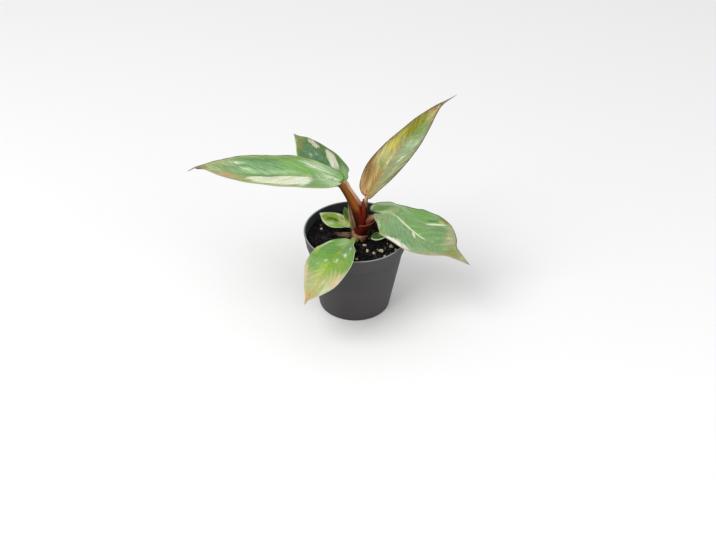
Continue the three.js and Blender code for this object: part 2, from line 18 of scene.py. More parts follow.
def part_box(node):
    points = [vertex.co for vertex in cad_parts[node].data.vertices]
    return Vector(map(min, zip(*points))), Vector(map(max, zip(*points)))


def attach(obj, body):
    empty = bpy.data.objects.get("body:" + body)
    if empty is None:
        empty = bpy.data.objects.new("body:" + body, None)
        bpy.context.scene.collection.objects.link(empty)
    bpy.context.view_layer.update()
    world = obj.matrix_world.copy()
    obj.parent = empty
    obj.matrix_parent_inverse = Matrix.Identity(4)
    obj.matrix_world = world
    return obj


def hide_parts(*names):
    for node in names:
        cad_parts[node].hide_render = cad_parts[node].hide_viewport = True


bl_info = {
    "name": "Potted Philodendron",
    "version": (1, 0, 0),
    "blender": (4, 5, 0),
    "location": "View3D > Sidebar > Philodendron",
    "description": "Builds a young variegated philodendron in its grower's pot",
    "category": "Object",
}

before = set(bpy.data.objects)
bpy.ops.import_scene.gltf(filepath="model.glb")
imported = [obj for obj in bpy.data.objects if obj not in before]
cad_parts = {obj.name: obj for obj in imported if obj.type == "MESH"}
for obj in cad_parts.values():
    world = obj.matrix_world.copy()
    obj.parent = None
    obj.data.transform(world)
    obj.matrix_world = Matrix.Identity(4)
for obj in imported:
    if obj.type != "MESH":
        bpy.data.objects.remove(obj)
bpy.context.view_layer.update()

MM = 0.001


def srgb(red, green, blue):
    """A colour given from 0 to 255, as the linear values that shaders use."""
    values = [v / 255 for v in (red, green, blue)]
    return tuple(v / 12.92 if v <= 0.04045 else ((v + 0.055) / 1.055) ** 2.4 for v in values)


# Sizes of the plant, in mm

# The flare is how much wider the floor is inside than the foot less the wall.
POT_FOOT = {
    "radius": 21.7, "ring_width": 2.0, "hub_radius": 5.0, "recess": 1.2, "floor": 1.2, "flare": 0.3,
    "edge": 0.3, "outer_edge": 0.5,
}
# The collar's foot is eased by points that lie (out, up) from the body below it and from the step.
POT_COLLAR = {
    "height": 9.3, "foot_radius": 30.0, "body_radius": 29.3,
    "under": [(-0.02, -0.45), (0.1, -0.2)], "step": [(-0.15, -0.08), (0, 0.1)],
    "inside": (-0.1, -1),
}
POT_DRAIN = {"count": 6, "radius": 1.8, "ring_radius": 12.4}

MIX_LEVEL = 46.6
MIX_MOUND = {"height": 1.7, "radius": 7.0}
MIX_RELIEF = 0.42
MIX_GAPS = {"wall": 0.12, "floor": 0.1}
MIX_BEVEL = 0.5
# Points round a ring of the mix, and rings on its surface.
MIX_GRID = (220, 120)
# Direction in degrees, wavelength in mm and phase in radians of each ripple in the mix.
MIX_RIPPLES = [(12, 9.5, 0.4), (71, 6.8, 2.1), (128, 7.9, 4.4), (163, 5.6, 1.3), (39, 5.1, 5.2)]

# Pale mineral granules: middle of each, its half sizes, and how pink it is.
GRANULES = [
    ((7.1, -13.2, 47.2), (0.9, 1.4, 1.3), 0.2),
    ((15.3, -12.9, 47.3), (1.9, 1.4, 1.2), 0.1),
    ((11.0, -15.1, 47.0), (1.0, 1.1, 0.9), 0.8),
    ((21.4, -8.3, 47.3), (1.5, 1.3, 1.1), 0.8),
    ((24.4, -11.4, 47.1), (1.2, 0.9, 0.9), 0.9),
    ((0.8, -21.7, 47.1), (1.0, 0.9, 0.8), 0.6),
    ((5.2, -8.0, 47.5), (1.6, 0.9, 0.8), 0.9),
    ((17.6, -17.9, 47.0), (0.8, 0.9, 0.7), 0.6),
    ((-21.2, 8.5, 47.0), (0.9, 0.9, 0.8), 0.7),
    ((-15.6, 20.8, 47.0), (0.8, 0.9, 0.7), 0.4),
    ((12.4, 19.8, 47.1), (1.3, 1.0, 0.9), 0.3),
]

# Least and greatest half sizes of a bark chip and of a crumb, and the share of pale crumbs on the right.
CHIP_SIZES = ((0.5, 0.4, 0.3), (1.7, 1.0, 0.7))
CRUMB_SIZES = (0.14, 0.5)
PALE_CRUMBS = 0.04
# How far from the stem's axis and from a granule the chips and crumbs stay.
STEM_ROOM = 4.5
GRANULE_ROOM = 0.35

# Stalks are rows of (x, y, z, radius).
STEM = [
    (2.5, -1.0, 37, 2.8), (2.6, -1.0, 47, 3.2), (3.2, -0.4, 54, 3.3), (3.9, 0.2, 59, 3.1),
    (4.1, 0.4, 61, 2.5),
]
SLEEVE = [
    (2.6, -1.0, 47.6, 4.1), (3.2, -0.8, 51, 4.3), (4.3, -0.6, 55, 4.7),
    (5.4, -0.4, 58.5, 5.2), (6.2, -0.2, 62, 5.5), (6.6, -0.1, 65, 5.6),
]
SLEEVE_RIM = {"height": 58.8, "slope": 0.28, "wall": 0.6}
STEM_GAP = 0.12
SLEEVE_GAP = 0.2
CUP = [(2.5, -1.0, 45.4, 4.5), (2.5, -1.2, 49.2, 5.1), (2.6, -1.3, 52.4, 5.2)]
SPEAR = [(4.2, -1.3, 57.5, 1.5), (4.2, -1.3, 66, 1.5), (4.0, -1.0, 71.5, 1.15), (3.9, -0.6, 76.2, 0.35)]
PALE_SHEATH = [(-1.2, 1.2, 53.4, 1.5), (-2.2, 1.8, 57, 1.6), (-3.6, 2.8, 62.5, 1.3), (-4.8, 3.5, 69.5, 0.45)]
DRIED_SHEATH = [
    (-0.5, -1.8, 49.2, 1.6), (-4.0, -1.2, 49.6, 1.8), (-8.5, -0.4, 49.4, 1.5), (-12.4, 0.8, 49.6, 0.7),
]

# Each leaf: petiole, midrib radius at its two ends, spine of the blade, the blade's face direction
# at base and tip, its two outlines as (share of the midrib, half width), the angle at which each
# half rises from the midrib at base and tip, and the rows and half columns of its mesh.
LEAVES = {
    "leaf_long_left": {
        "petiole": [
            (2.9, -1.0, 57.5, 3.0), (-0.3, -1.0, 68.5, 2.65), (-4.1, -0.6, 76.8, 2.3),
            (-7.5, -0.3, 83, 2.1), (-9.4, -0.1, 85.6, 2.0),
        ],
        "midrib": (1.3, 0.4),
        "spine": [
            (-9.5, 0, 87.5), (-19, -1, 90.5), (-34, -3, 93.5), (-51, -5, 94.5), (-69, -7, 97),
            (-86, -9, 101), (-93.5, -9.5, 102), (-99, -10, 99.5),
        ],
        "face": [(0, -0.15, 1), (0, -0.25, 1)],
        "left": [
            (0, 0), (0.005, 2.6), (0.035, 6.2), (0.085, 10.6), (0.18, 13.7), (0.38, 14), (0.62, 10.5),
            (0.8, 7), (0.91, 1.4), (1, 0),
        ],
        "right": [
            (0, 0), (-0.02, 3.2), (0, 6.5), (0.07, 9), (0.2, 12.6), (0.4, 13.8), (0.62, 12.1),
            (0.8, 6.3), (0.92, 1.1), (1, 0),
        ],
        "rise": {"left": (17, 24), "right": (17, 24)},
        "grid": (130, 18),
    },
    "leaf_back_left": {
        "petiole": [
            (3.6, 1.7, 57.5, 2.3), (2.3, 2.2, 66.5, 2.3), (0.6, 3.4, 71, 1.95),
            (-1.4, 5.0, 73.6, 1.75), (-4.8, 7.2, 78.2, 1.5), (-6.4, 7.9, 81.6, 1.35),
        ],
        "midrib": (0.9, 0.35),
        "spine": [(-6.5, 8, 83), (-13.5, 12, 88), (-22.5, 17, 94), (-31.5, 21, 101), (-38.5, 23, 106)],
        "face": [(0.1, -0.3, 0.93), (0.1, -0.3, 0.93)],
        "left": [
            (0, 0), (0.01, 4), (0.07, 8.5), (0.2, 11), (0.4, 12.5), (0.6, 11.8), (0.78, 9.2),
            (0.88, 5.5), (0.95, 2.2), (1, 0),
        ],
        "right": [
            (0, 0), (0.02, 3.2), (0.065, 5.4), (0.095, 8.8), (0.2, 10.4), (0.4, 11), (0.6, 9),
            (0.78, 5.3), (0.9, 1.8), (1, 0),
        ],
        "rise": {"left": (-4, -4), "right": (-4, -4)},
        "grid": (100, 16),
    },
    "leaf_upright_right": {
        "petiole": [
            (5.3, 1.3, 57.5, 1.7), (5.2, 1.2, 66, 1.4), (5.4, 0.7, 72, 1.3), (5.5, 0.3, 75.6, 1.25),
        ],
        "midrib": (0.9, 0.3),
        "spine": [
            (5.5, 0, 77), (12, 3, 88), (22, 6, 104), (33, 9, 118), (45.5, 11, 134), (56.5, 12, 142.5),
        ],
        "face": [(-0.42, -0.8, 0.42), (-0.38, -0.82, 0.44)],
        "left": [
            (0, 0), (0.015, 4.5), (0.07, 8), (0.2, 10.5), (0.36, 9.3), (0.52, 7.2), (0.66, 5.4),
            (0.8, 2.4), (0.9, 0.6), (1, 0),
        ],
        "right": [
            (0, 0), (0.015, 3), (0.1, 5), (0.22, 7.6), (0.36, 9.2), (0.52, 8.6), (0.68, 6), (0.8, 2.8),
            (0.88, 0.8), (1, 0),
        ],
        "rise": {"left": (16, 12), "right": (16, 12)},
        "grid": (120, 16),
    },
    "leaf_heart_right": {
        "petiole": [
            (5.6, -0.5, 56.5, 2.2), (7.7, -0.4, 60.9, 2.0), (10.0, 0.1, 62.4, 1.8),
            (12.5, 1.0, 62.8, 1.6),
        ],
        "midrib": (1.2, 0.35),
        "spine": [
            (14, 1.6, 64.6), (22.5, -1.2, 65.5), (29, -5.8, 62.3), (38, -12, 58), (50, -17, 53.5),
            (59.3, -19.5, 50), (68.4, -23.5, 46.3),
        ],
        "face": [(0.1, -0.35, 1), (0.3, -0.33, 1)],
        "left": [
            (0, 0), (-0.045, 0.2), (-0.1, 1.2), (-0.114, 4.4), (-0.085, 7.9), (-0.005, 9.9),
            (0.07, 10.1), (0.127, 9.5), (0.195, 12.9), (0.305, 18.2), (0.44, 21), (0.61, 20.6),
            (0.73, 17), (0.79, 11.2), (0.815, 6), (0.875, 3.2), (1, 0),
        ],
        "right": [
            (0, 0), (-0.04, 0.7), (-0.05, 2.4), (-0.03, 4.8), (0.01, 8.2), (0.037, 12.3), (0.08, 16.8),
            (0.17, 18.6), (0.255, 17.8), (0.35, 16.5), (0.46, 15), (0.565, 12), (0.66, 8.4),
            (0.74, 4.8), (0.835, 3), (0.925, 1.3), (1, 0),
        ],
        "rise": {"left": (-4, 13), "right": (12, 12)},
        "grid": (130, 24),
    },
    "leaf_front_left": {
        "petiole": [(1.2, -3.4, 49.4, 2.0), (-0.9, -6.6, 50.6, 1.9), (-2.3, -8.6, 50.7, 1.5)],
        "midrib": (0.9, 0.35),
        "spine": [
            (-2.5, -9, 51.8), (-8, -18, 52.6), (-12, -28, 54.6), (-15.5, -36, 52.6),
            (-19.5, -41, 46.8), (-24.5, -44, 39.5), (-29.5, -45.5, 30.5),
        ],
        "face": [(-0.1, 0.1, 1), (-0.2, -0.15, 1)],
        "left": [
            (0, 0), (0.02, 3), (0.1, 5.7), (0.2, 9), (0.35, 12.8), (0.5, 16.2), (0.6, 16.2),
            (0.7, 13.6), (0.83, 7.6), (0.93, 2.2), (1, 0),
        ],
        "right": [
            (0, 0), (0.02, 3.7), (0.1, 8.1), (0.2, 10.6), (0.35, 12.4), (0.52, 13.9), (0.68, 13.6),
            (0.85, 7.4), (0.94, 2.2), (1, 0),
        ],
        "rise": {"left": (14, 20), "right": (14, 20)},
        "grid": (110, 18),
    },
    "leaf_small_left": {
        "petiole": [(0.4, 1.8, 49.0, 1.0), (-1.4, 4.2, 49.8, 0.9), (-2.8, 5.7, 50.2, 0.75)],
        "midrib": (0.6, 0.3),
        "spine": [(-3, 6, 51), (-10, 9, 52.5), (-15.5, 12, 53), (-22.5, 14, 55)],
        "face": [(0, -0.38, 0.93), (0, -0.38, 0.93)],
        "left": [(0, 0), (0.03, 1.1), (0.14, 2.2), (0.27, 4.2), (0.5, 6), (0.8, 4.9), (1, 0)],
        "right": [(0, 0), (0.03, 1.5), (0.25, 4.2), (0.5, 4.8), (0.7, 3.5), (0.86, 1.8), (1, 0)],
        "rise": {"left": (12, 12), "right": (12, 12)},
        "grid": (70, 10),
    },
    "leaf_bud_behind": {
        "petiole": [(2.2, 2.6, 49.4, 0.9), (-0.6, 6.0, 51.2, 0.8), (-2.8, 8.0, 53.3, 0.65)],
        "midrib": (0.55, 0.3),
        "spine": [(-3.2, 8.4, 54.2), (-5.4, 10.2, 57.4), (-7.3, 12, 61.3)],
        "face": [(-0.3, -0.75, 0.6), (-0.3, -0.75, 0.6)],
        "left": [(0, 0), (0.08, 1.3), (0.35, 2.6), (0.7, 2), (1, 0)],
        "right": [(0, 0), (0.08, 1.3), (0.35, 2.6), (0.7, 2), (1, 0)],
        "rise": {"left": (15, 10), "right": (15, 10)},
        "grid": (44, 8),
    },
    "leaf_small_right": {
        "petiole": [(4.6, -1.8, 48.4, 1.0), (7.4, -2.2, 48.4, 0.8), (8.6, -2.3, 48.5, 0.7)],
        "midrib": (0.6, 0.3),
        "spine": [(9.2, -2.4, 49.2), (13.5, -2.6, 50), (18.6, -2.8, 50.6)],
        "face": [(0, -0.6, 1), (0, -0.6, 1)],
        "left": [(0, 0), (0.06, 1.5), (0.35, 3.2), (0.7, 2.4), (1, 0)],
        "right": [(0, 0), (0.06, 1.2), (0.35, 2.2), (0.7, 1.7), (1, 0)],
        "rise": {"left": (12, 12), "right": (12, 12)},
        "grid": (50, 8),
    },
}

# How far each blade curls down at its widest in degrees, how far its side veins lean to the tip (mm
# along for each mm across), their spacing in mm, the waves of its margin, how strong its flecks are,
# how far its markings fray in mm, its contrast, and its brightness, which is painted light and shade:
# it lightens a blade that lies in shade and darkens one that catches more light.
TRAITS = ("curl", "lean", "vein_spacing", "waves", "flecks", "fray", "contrast", "brightness")
LEAF_TRAITS = {
    "leaf_long_left": (6, 2.8, 5.4, 2.6, 0.4, 5.5, 1.35, 1.1),
    "leaf_back_left": (20, 1.4, 4.6, 2.2, 0.25, 3.5, 0.8, 0.82),
    "leaf_upright_right": (10, 3.0, 5.2, 2.8, 0.3, 5.5, 1.15, 1.0),
    "leaf_heart_right": (12, 1.8, 6.0, 2.4, 0.4, 3.0, 0.85, 0.98),
    "leaf_front_left": (10, 1.1, 5.0, 2.6, 0.35, 3.0, 0.6, 1.03),
    "leaf_small_left": (20, 0.8, 3.4, 1.8, 0.2, 1.5, 0.9, 1.28),
    "leaf_bud_behind": (10, 0.8, 2.4, 1.2, 0.1, 1.0, 0.6, 0.9),
    "leaf_small_right": (10, 0.8, 2.6, 1.4, 0.1, 1.0, 0.6, 0.9),
}
for leaf_name, leaf_traits in LEAF_TRAITS.items():
    LEAVES[leaf_name].update(zip(TRAITS, leaf_traits))

# Markings of each blade, painted in this order over its ground colour. A marking is an oval: its
# colour, middle (mm along the midrib, mm to the left), half length, half width, angle in degrees,
# softness of its edge and strength.
GROUND = {
    "leaf_long_left": "green",
    "leaf_back_left": "deep_green",
    "leaf_upright_right": "olive",
    "leaf_heart_right": "green",
    "leaf_front_left": "bright_green",
    "leaf_small_left": "lime",
    "leaf_bud_behind": "bright_green",
    "leaf_small_right": "forest",
}
MARKINGS = {
    "leaf_long_left": [
        ("grey_green", 7, 3, 9, 8, 0, 0.5, 0.75),
        ("mint", 5.5, 4.5, 4, 4.5, 0, 0.7, 0.65),
        ("mint", 11, 4, 3.5, 5, 20, 0.7, 0.5),
        ("white", 5.5, -1.6, 3.4, 0.7, -5, 0.5, 0.8),
        ("bright_green", -0.5, -4, 3.2, 3, 0, 0.5, 0.9),
        ("deep_green", 5.5, -3.3, 3, 0.6, -10, 0.6, 0.8),
        ("grey_green", 11, -6, 8, 3.4, -14, 0.5, 0.8),
        ("mint", 9, -4.8, 4, 0.45, -14, 0.6, 0.7),
        ("mint", 12.5, -6.9, 4, 0.45, -14, 0.6, 0.8),
        ("lilac", 15.5, -6.3, 3.2, 0.5, -12, 0.5, 0.5),
        ("lilac", 19, -8, 3.6, 0.5, -14, 0.5, 0.7),
        ("mint", 18.5, -6.6, 3.4, 0.45, -12, 0.5, 0.7),
        ("blush", 17.5, -9, 3.4, 0.35, -14, 0.6, 0.5),
        ("lilac", 22.5, -9.4, 3, 0.4, -12, 0.5, 0.6),
        ("mint", 14, -8.6, 3.4, 0.5, -16, 0.5, 0.7),
        ("mint", 20.5, -10.2, 2.8, 0.45, -12, 0.5, 0.7),
        ("mint", 16.5, -10.6, 3.6, 0.4, -14, 0.5, 0.6),
        ("bright_green", 21.5, -3.2, 7, 1.2, -4, 0.5, 1),
        ("bright_green", 13, 9.5, 6, 4, 20, 0.6, 0.5),
        ("moss", 19, 11.4, 4, 2, 0, 0.6, 0.6),
        ("bright_green", 31, -6.5, 12, 4.5, 0, 0.7, 0.5),
        ("mint", 42, -2.1, 14, 1.1, 2, 0.7, 0.4),
        ("blue_green", 46, -5.5, 10, 4, 0, 0.7, 0.45),
        ("moss", 45, -11, 25, 1.8, 3, 0.6, 0.8),
        ("deep_green", 50, -9.8, 13, 0.9, 4, 0.6, 0.7),
        ("deep_green", 45, -8, 9, 2, 0, 0.8, 0.35),
        ("deep_green", 46, 1.1, 12, 1, 4, 0.5, 0.6),
        ("tan", 21, -0.5, 3.4, 0.8, 0, 0.5, 0.6),
        ("deep_green", 60, -5, 4.5, 0.7, 5, 0.6, 0.9),
        ("mint", 60.5, -6.3, 3.4, 0.4, 8, 0.6, 0.6),
        ("deep_green", 62.5, -7.7, 4.5, 0.6, 10, 0.6, 0.7),
        ("mint", 58.5, -3, 4, 0.7, 5, 0.6, 0.8),
        ("blue_green", 67, -2.6, 7, 1.4, 4, 0.6, 0.9),
        ("cream", 64, -6.4, 4, 0.5, 9, 0.5, 0.85),
        ("mint", 69, -4.4, 3, 0.5, 10, 0.6, 0.5),
        ("olive", 79, 0, 12, 9, 0, 0.7, 0.4),
        ("tan", 76, 3.5, 6, 3, -20, 0.7, 0.6),
        ("mint", 74.5, 0.8, 5, 1.3, -4, 0.7, 0.45),
        ("olive", 60.5, 7, 5, 4, 0, 0.7, 0.6),
        ("peach", 68, 4.8, 5, 2.6, -6, 0.6, 0.85),
        ("tan", 41, 12.9, 21, 1.2, -5, 0.5, 0.85),
        ("cream", 22.6, 6, 6.4, 2.4, 62, 0.2, 1),
        ("cream", 33.5, 6.4, 11.5, 5.5, 2, 0.12, 1),
        ("cream", 44.6, 6.7, 12, 3.7, -7, 0.14, 1),
        ("white", 25, 6.5, 3.6, 5, -10, 0.5, 0.8),
        ("bronze", 86, 0, 6, 3, 0, 0.6, 0.4),
    ],
    "leaf_back_left": [
        ("bright_green", 4, -2, 8, 9, 0, 0.5, 0.9),
        ("mint", 3, -2, 6, 7, 0, 0.6, 0.4),
        ("green", 12, 8, 9, 4, 20, 0.6, 0.7),
        ("moss", 13, -9.6, 9, 1.8, 0, 0.6, 0.7),
        ("moss", 24, -6.5, 3, 3.5, 0, 0.6, 0.6),
        ("blue_green", 26, 3, 8, 5, 0, 0.7, 0.5),
        ("mint", 26.3, 3.5, 1.5, 0.8, 0, 0.6, 0.6),
        ("mint", 24.4, 0.7, 1, 0.6, 0, 0.6, 0.4),
        ("moss", 38, 3, 5.5, 12, 10, 0.4, 0.9),
        ("olive", 37, 3, 2.5, 9, 14, 0.7, 0.4),
        ("cream", 15, -4.5, 7, 2.9, -30, 0.13, 1),
        ("white", 12.5, -2.9, 3.6, 1.8, -30, 0.5, 0.8),
        ("cream", 29.7, -4, 4, 1.8, 8, 0.2, 1),
        ("blush", 31, -4.2, 2.4, 1.6, 0, 0.5, 0.6),
    ],
    "leaf_upright_right": [
        ("sage", 30, -5, 27, 5.2, 0, 0.5, 0.85),
        ("grey_green", 46, -3.5, 12, 3, 0, 0.7, 0.7),
        ("mint", 43.5, -2.4, 2.2, 1, 0, 0.7, 0.4),
        ("mint", 45.5, -5.4, 2.8, 0.9, 0, 0.7, 0.4),
        ("cream", 33.5, -4.8, 2, 0.6, -6, 0.5, 0.8),
        ("cream", 25, -5.4, 4, 0.4, -5, 0.6, 0.4),
        ("moss", 54, -1.6, 8, 2.2, -6, 0.6, 1),
        ("bronze", 7, 4.5, 12, 7, 8, 0.6, 0.9),
        ("peach", 4.5, 4, 5, 2.4, 30, 0.7, 0.45),
        ("red", 2, 1.1, 1.8, 1, 10, 0.6, 0.9),
        ("straw", 10, 3.2, 4.5, 0.8, 20, 0.6, 0.6),
        ("bronze", 12, 0.6, 8, 0.8, 0, 0.6, 0.7),
        ("bronze", 15, 6, 7, 2, 12, 0.6, 0.8),
        ("umber", 13.5, 6.5, 4, 1.6, 12, 0.7, 0.45),
        ("straw", 17, 3, 4, 0.6, 12, 0.6, 0.4),
        ("gold", 29, 9.6, 9, 1.1, -4, 0.7, 0.6),
        ("umber", 19, 9.4, 7.5, 1.7, 3, 0.5, 1),
        ("umber", 17.5, 8.2, 3.5, 1.2, 8, 0.6, 0.9),
        ("peach", 23.5, 8.2, 3.4, 1, -6, 0.5, 0.9),
        ("straw", 26, 6.2, 4, 2.2, 8, 0.6, 0.8),
        ("moss", 26, 4, 5, 1.8, 8, 0.6, 0.65),
        ("straw", 30.5, 5.2, 3.6, 2.6, 25, 0.6, 0.7),
        ("yellow", 37.5, 5.2, 4.6, 1.8, -5, 0.5, 0.9),
        ("straw", 29, 0.9, 7, 0.8, 4, 0.6, 0.8),
        ("cream", 27, 1.1, 2.8, 0.4, 8, 0.6, 0.5),
        ("peach", 37, 2.2, 3.4, 0.7, 6, 0.6, 0.45),
        ("moss", 41, 1.5, 3, 1, 0, 0.6, 0.5),
        ("gold", 51.5, 3, 10, 2.8, -5, 0.5, 1),
        ("yellow", 46, 5, 3, 1.1, -6, 0.6, 0.75),
        ("straw", 43, 2.6, 2.4, 0.7, 10, 0.6, 0.5),
        ("gold", 60.5, 2.2, 7, 1.6, -8, 0.6, 0.8),
        ("straw", 66, -1.2, 4, 1.2, -8, 0.6, 0.6),
        ("peach", 70, 0.4, 4.8, 1.3, -4, 0.6, 0.6),
        ("umber", 71, 1.9, 4.5, 0.8, -12, 0.6, 0.9),
    ],
    "leaf_heart_right": [
        ("bright_green", -1, 4.6, 4.5, 3, 0, 0.6, 0.5),
        ("moss", 0.6, 3.6, 1.4, 1.4, 0, 0.6, 0.5),
        ("mint", 1, 8.9, 9, 1.9, 0, 0.5, 0.75),
        ("mint", -6.4, 5, 1.2, 3, 0, 0.5, 0.85),
        ("deep_green", 12, 15.5, 9, 1.4, 10, 0.7, 0.6),
        ("mint", 2.5, 1.2, 5, 1.1, 6, 0.7, 0.5),
        ("straw", 7, 3.2, 2.6, 1.8, 50, 0.7, 0.35),
        ("mint", 2.4, -11.5, 0.9, 5, 14, 0.5, 0.8),
        ("tan", 0.8, -7.5, 0.9, 4.5, 10, 0.5, 0.7),
        ("grey_green", 9, -10, 9, 8, 0, 0.7, 0.2),
        ("tan", 6, -4, 4, 2.4, -30, 0.8, 0.35),
        ("bright_green", 4, -10, 0.7, 5, 12, 0.6, 0.5),
        ("lime", 10.5, -17.8, 6, 1.1, 4, 0.6, 0.7),
        ("blue_green", 22, -8, 8, 4.5, -25, 0.7, 0.5),
        ("moss", 20.5, -13.7, 3.2, 1.4, -6, 0.6, 0.7),
        ("bright_green", 21, 12.5, 7, 4.5, 20, 0.6, 0.75),
        ("bright_green", 22, 3, 9, 1.8, 5, 0.7, 0.6),
        ("grey_green", 19, 8.3, 5, 1, 12, 0.7, 0.5),
        ("deep_green", 30.5, 15.4, 5, 1.3, 28, 0.6, 0.85),
        ("deep_green", 38, 8, 6, 6, 20, 0.8, 0.35),
        ("tan", 39.5, -9.2, 11.5, 1.5, 29, 0.6, 0.85),
        ("tan", 47, 10, 4, 9, 14, 0.8, 0.7),
        ("blush", 48, 8, 2, 2, 0, 0.8, 0.25),
        ("mint", 46, 9.2, 1.6, 0.8, 30, 0.7, 0.4),
        ("grey_green", 33, -12, 5, 3, 20, 0.8, 0.6),
        ("gold", 53, 0.8, 4.4, 2.8, 0, 0.8, 0.8),
        ("tan", 59, 0.4, 5, 2.2, 0, 0.7, 0.7),
        ("bronze", 48, -3.4, 2.8, 1.2, 22, 0.7, 0.6),
        ("umber", 37.5, 19.6, 5, 1, -6, 0.6, 0.7),
        ("cream", 33.5, 13.6, 6.8, 0.75, 29, 0.3, 0.95),
        ("straw", 37, 17.2, 2.2, 1, 22, 0.6, 0.8),
        ("yellow", 35.9, 17.4, 1, 0.6, 20, 0.6, 0.6),
        ("lilac", 23.2, -15.8, 6.8, 2.1, 13, 0.25, 1),
        ("blush", 26.5, -14.9, 3, 0.8, 14, 0.5, 0.5),
        ("white", 23, -12.9, 1.3, 0.7, 20, 0.6, 0.8),
        ("cream", 26.4, -2.1, 2.2, 0.75, -42, 0.4, 0.95),
    ],
    "leaf_front_left": [
        ("green", 11, 5.5, 9, 3.4, 20, 0.6, 0.9),
        ("blue_green", 12, 5.5, 7, 2, 20, 0.7, 0.6),
        ("lime", 14, 0.6, 13, 1.5, 2, 0.6, 0.85),
        ("mint", 7, 0.6, 5, 0.7, 5, 0.7, 0.4),
        ("mint", 5, -2, 5, 2.5, 0, 0.7, 0.35),
        ("mint", 14.5, 7.4, 4.4, 0.6, 19, 0.5, 0.75),
        ("moss", 29, 9, 5, 8, 0, 0.7, 0.6),
        ("lime", 30, 7, 4, 6, 0, 0.7, 0.5),
        ("lime", 35, -1, 7, 4.5, 0, 0.7, 0.85),
        ("straw", 37, 11, 3.6, 5.5, 0, 0.7, 0.85),
        ("blush", 37, 13.4, 4, 1.8, -16, 0.7, 0.8),
        ("straw", 46.5, 0, 9.5, 13, 0, 0.6, 0.7),
        ("moss", 32, -9, 6, 3, 10, 0.7, 0.5),
        ("cream", 41, 4.2, 2.4, 1, 0, 0.8, 0.5),
        ("cream", 40.5, 9, 2.4, 1.4, 60, 0.7, 0.3),
        ("cream", 43, 10.3, 3, 1.4, -36, 0.7, 0.6),
        ("tan", 45, -7.5, 6.5, 3.5, 28, 0.8, 0.5),
        ("blush", 41, -12, 8, 1.4, 20, 0.7, 0.6),
        ("mint", 14, -10.4, 8.5, 1, -11, 0.5, 0.75),
        ("yellow", 21.5, -10.8, 3.4, 0.8, -8, 0.7, 0.5),
        ("white", 23.2, 8, 1.6, 0.9, 25, 0.6, 0.9),
        ("mint", 26.8, 4, 1.2, 0.8, 20, 0.6, 0.75),
        ("mint", 28, -3, 1.1, 0.7, -30, 0.5, 0.6),
        ("ochre", 55.5, 0, 5.5, 4.5, 0, 0.7, 0.8),
        ("bronze", 52, 5, 5, 2, -20, 0.7, 0.4),
        ("bronze", 58.6, 0, 2.6, 2, 0, 0.6, 0.8),
    ],
    "leaf_small_left": [
        ("bright_green", 6, 2.4, 6, 2.2, 15, 0.6, 0.6),
        ("mint", 12.7, 3.9, 2.4, 1.2, 10, 0.7, 0.7),
        ("forest", 11, 0.2, 4.4, 0.9, 3, 0.5, 0.9),
        ("forest", 14.5, 1.6, 2.2, 1.3, 0, 0.6, 0.6),
        ("spring", 4.6, -0.2, 3.8, 2, -6, 0.6, 0.9),
        ("straw", 8, -2, 3.2, 1, -10, 0.6, 0.6),
        ("cream", 8.5, -3.9, 5, 0.7, 0, 0.5, 0.7),
        ("gold", 18.6, 1.4, 1.4, 1.2, 0, 0.6, 0.6),
        ("cream", 16.6, 4.9, 4, 0.7, -22, 0.4, 1),
        ("cream", 20.8, 0, 1.4, 1.6, 0, 0.5, 0.8),
    ],
    "leaf_bud_behind": [
        ("forest", 5, 0.8, 3, 0.9, 0, 0.6, 0.6),
        ("cream", 5, -2, 4, 0.5, 0, 0.4, 0.8),
    ],
    "leaf_small_right": [
        ("bright_green", 6, 1.2, 3, 0.7, 0, 0.6, 0.3),
        ("mint", 5, -1.8, 5, 0.5, 0, 0.5, 0.7),
    ],
}

# Midrib line of each blade: its colour, how strong it is, and from where to where it shows.
MIDRIBS = {
    "leaf_long_left": ("green", 0.25, 2, 80),
    "leaf_back_left": ("mint", 0.08, 0, 36),
    "leaf_upright_right": ("straw", 0.12, 4, 60),
    "leaf_heart_right": ("cream", 0.95, 17, 35),
    "leaf_front_left": ("lime", 0.5, 0, 34),
    "leaf_small_left": ("forest", 0.3, 5, 18),
    "leaf_bud_behind": ("lime", 0.5, 0, 8),
    "leaf_small_right": ("lime", 0.3, 0, 9),
}

# Borders of each blade: the fade towards its margin (colour, width in mm, from where along the midrib
# it starts and is full, strength), the margin line on its left and right (colours, width in mm), and
# where the drip tip turns grey.
BORDERS = {
    "leaf_long_left": (("tan", 3.0, 30, 75, 0.5), ("tan", "margin", 0.6), 80),
    "leaf_back_left": (("mint", 2.0, 34, 40, 0.5), ("mint", "moss", 0.5), 40),
    "leaf_upright_right": (("margin", 2.0, 8, 18, 0.5), ("margin", "margin", 0.6), 74),
    "leaf_heart_right": (("tan", 3.5, 36, 46, 0.6), ("margin", "tan", 0.7), 59),
    "leaf_front_left": (("blush", 2.6, 24, 42, 0.5), ("mint", "straw", 0.4), 70),
    "leaf_small_left": (("mint", 0.9, 4, 12, 0.6), ("cream", "cream", 0.35), 30),
    "leaf_bud_behind": (("moss", 0.8, 0, 3, 0.5), ("moss", "moss", 0.3), 20),
    "leaf_small_right": (("moss", 0.8, 2, 6, 0.4), ("moss", "mint", 1), 20),
}

# Width of the midrib line as a share of the midrib's radius, and how much lighter side veins are.
RIB_WIDTH = 0.8
VEIN_LIGHT = (1.4, 1.36, 1.3)
FLECK = srgb(196, 216, 172)
DRIP_TIP = srgb(118, 112, 102)
STALK_DOT = srgb(226, 170, 130)
# How much the under sides take of their flush.
UNDER_FLUSH = 0.45

POT_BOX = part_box("pot")
POT_HEIGHT = POT_BOX[1][2] / MM
POT_RADIUS = (POT_BOX[1][0] - POT_BOX[0][0]) / 2 / MM
POT_WALL = 0.95
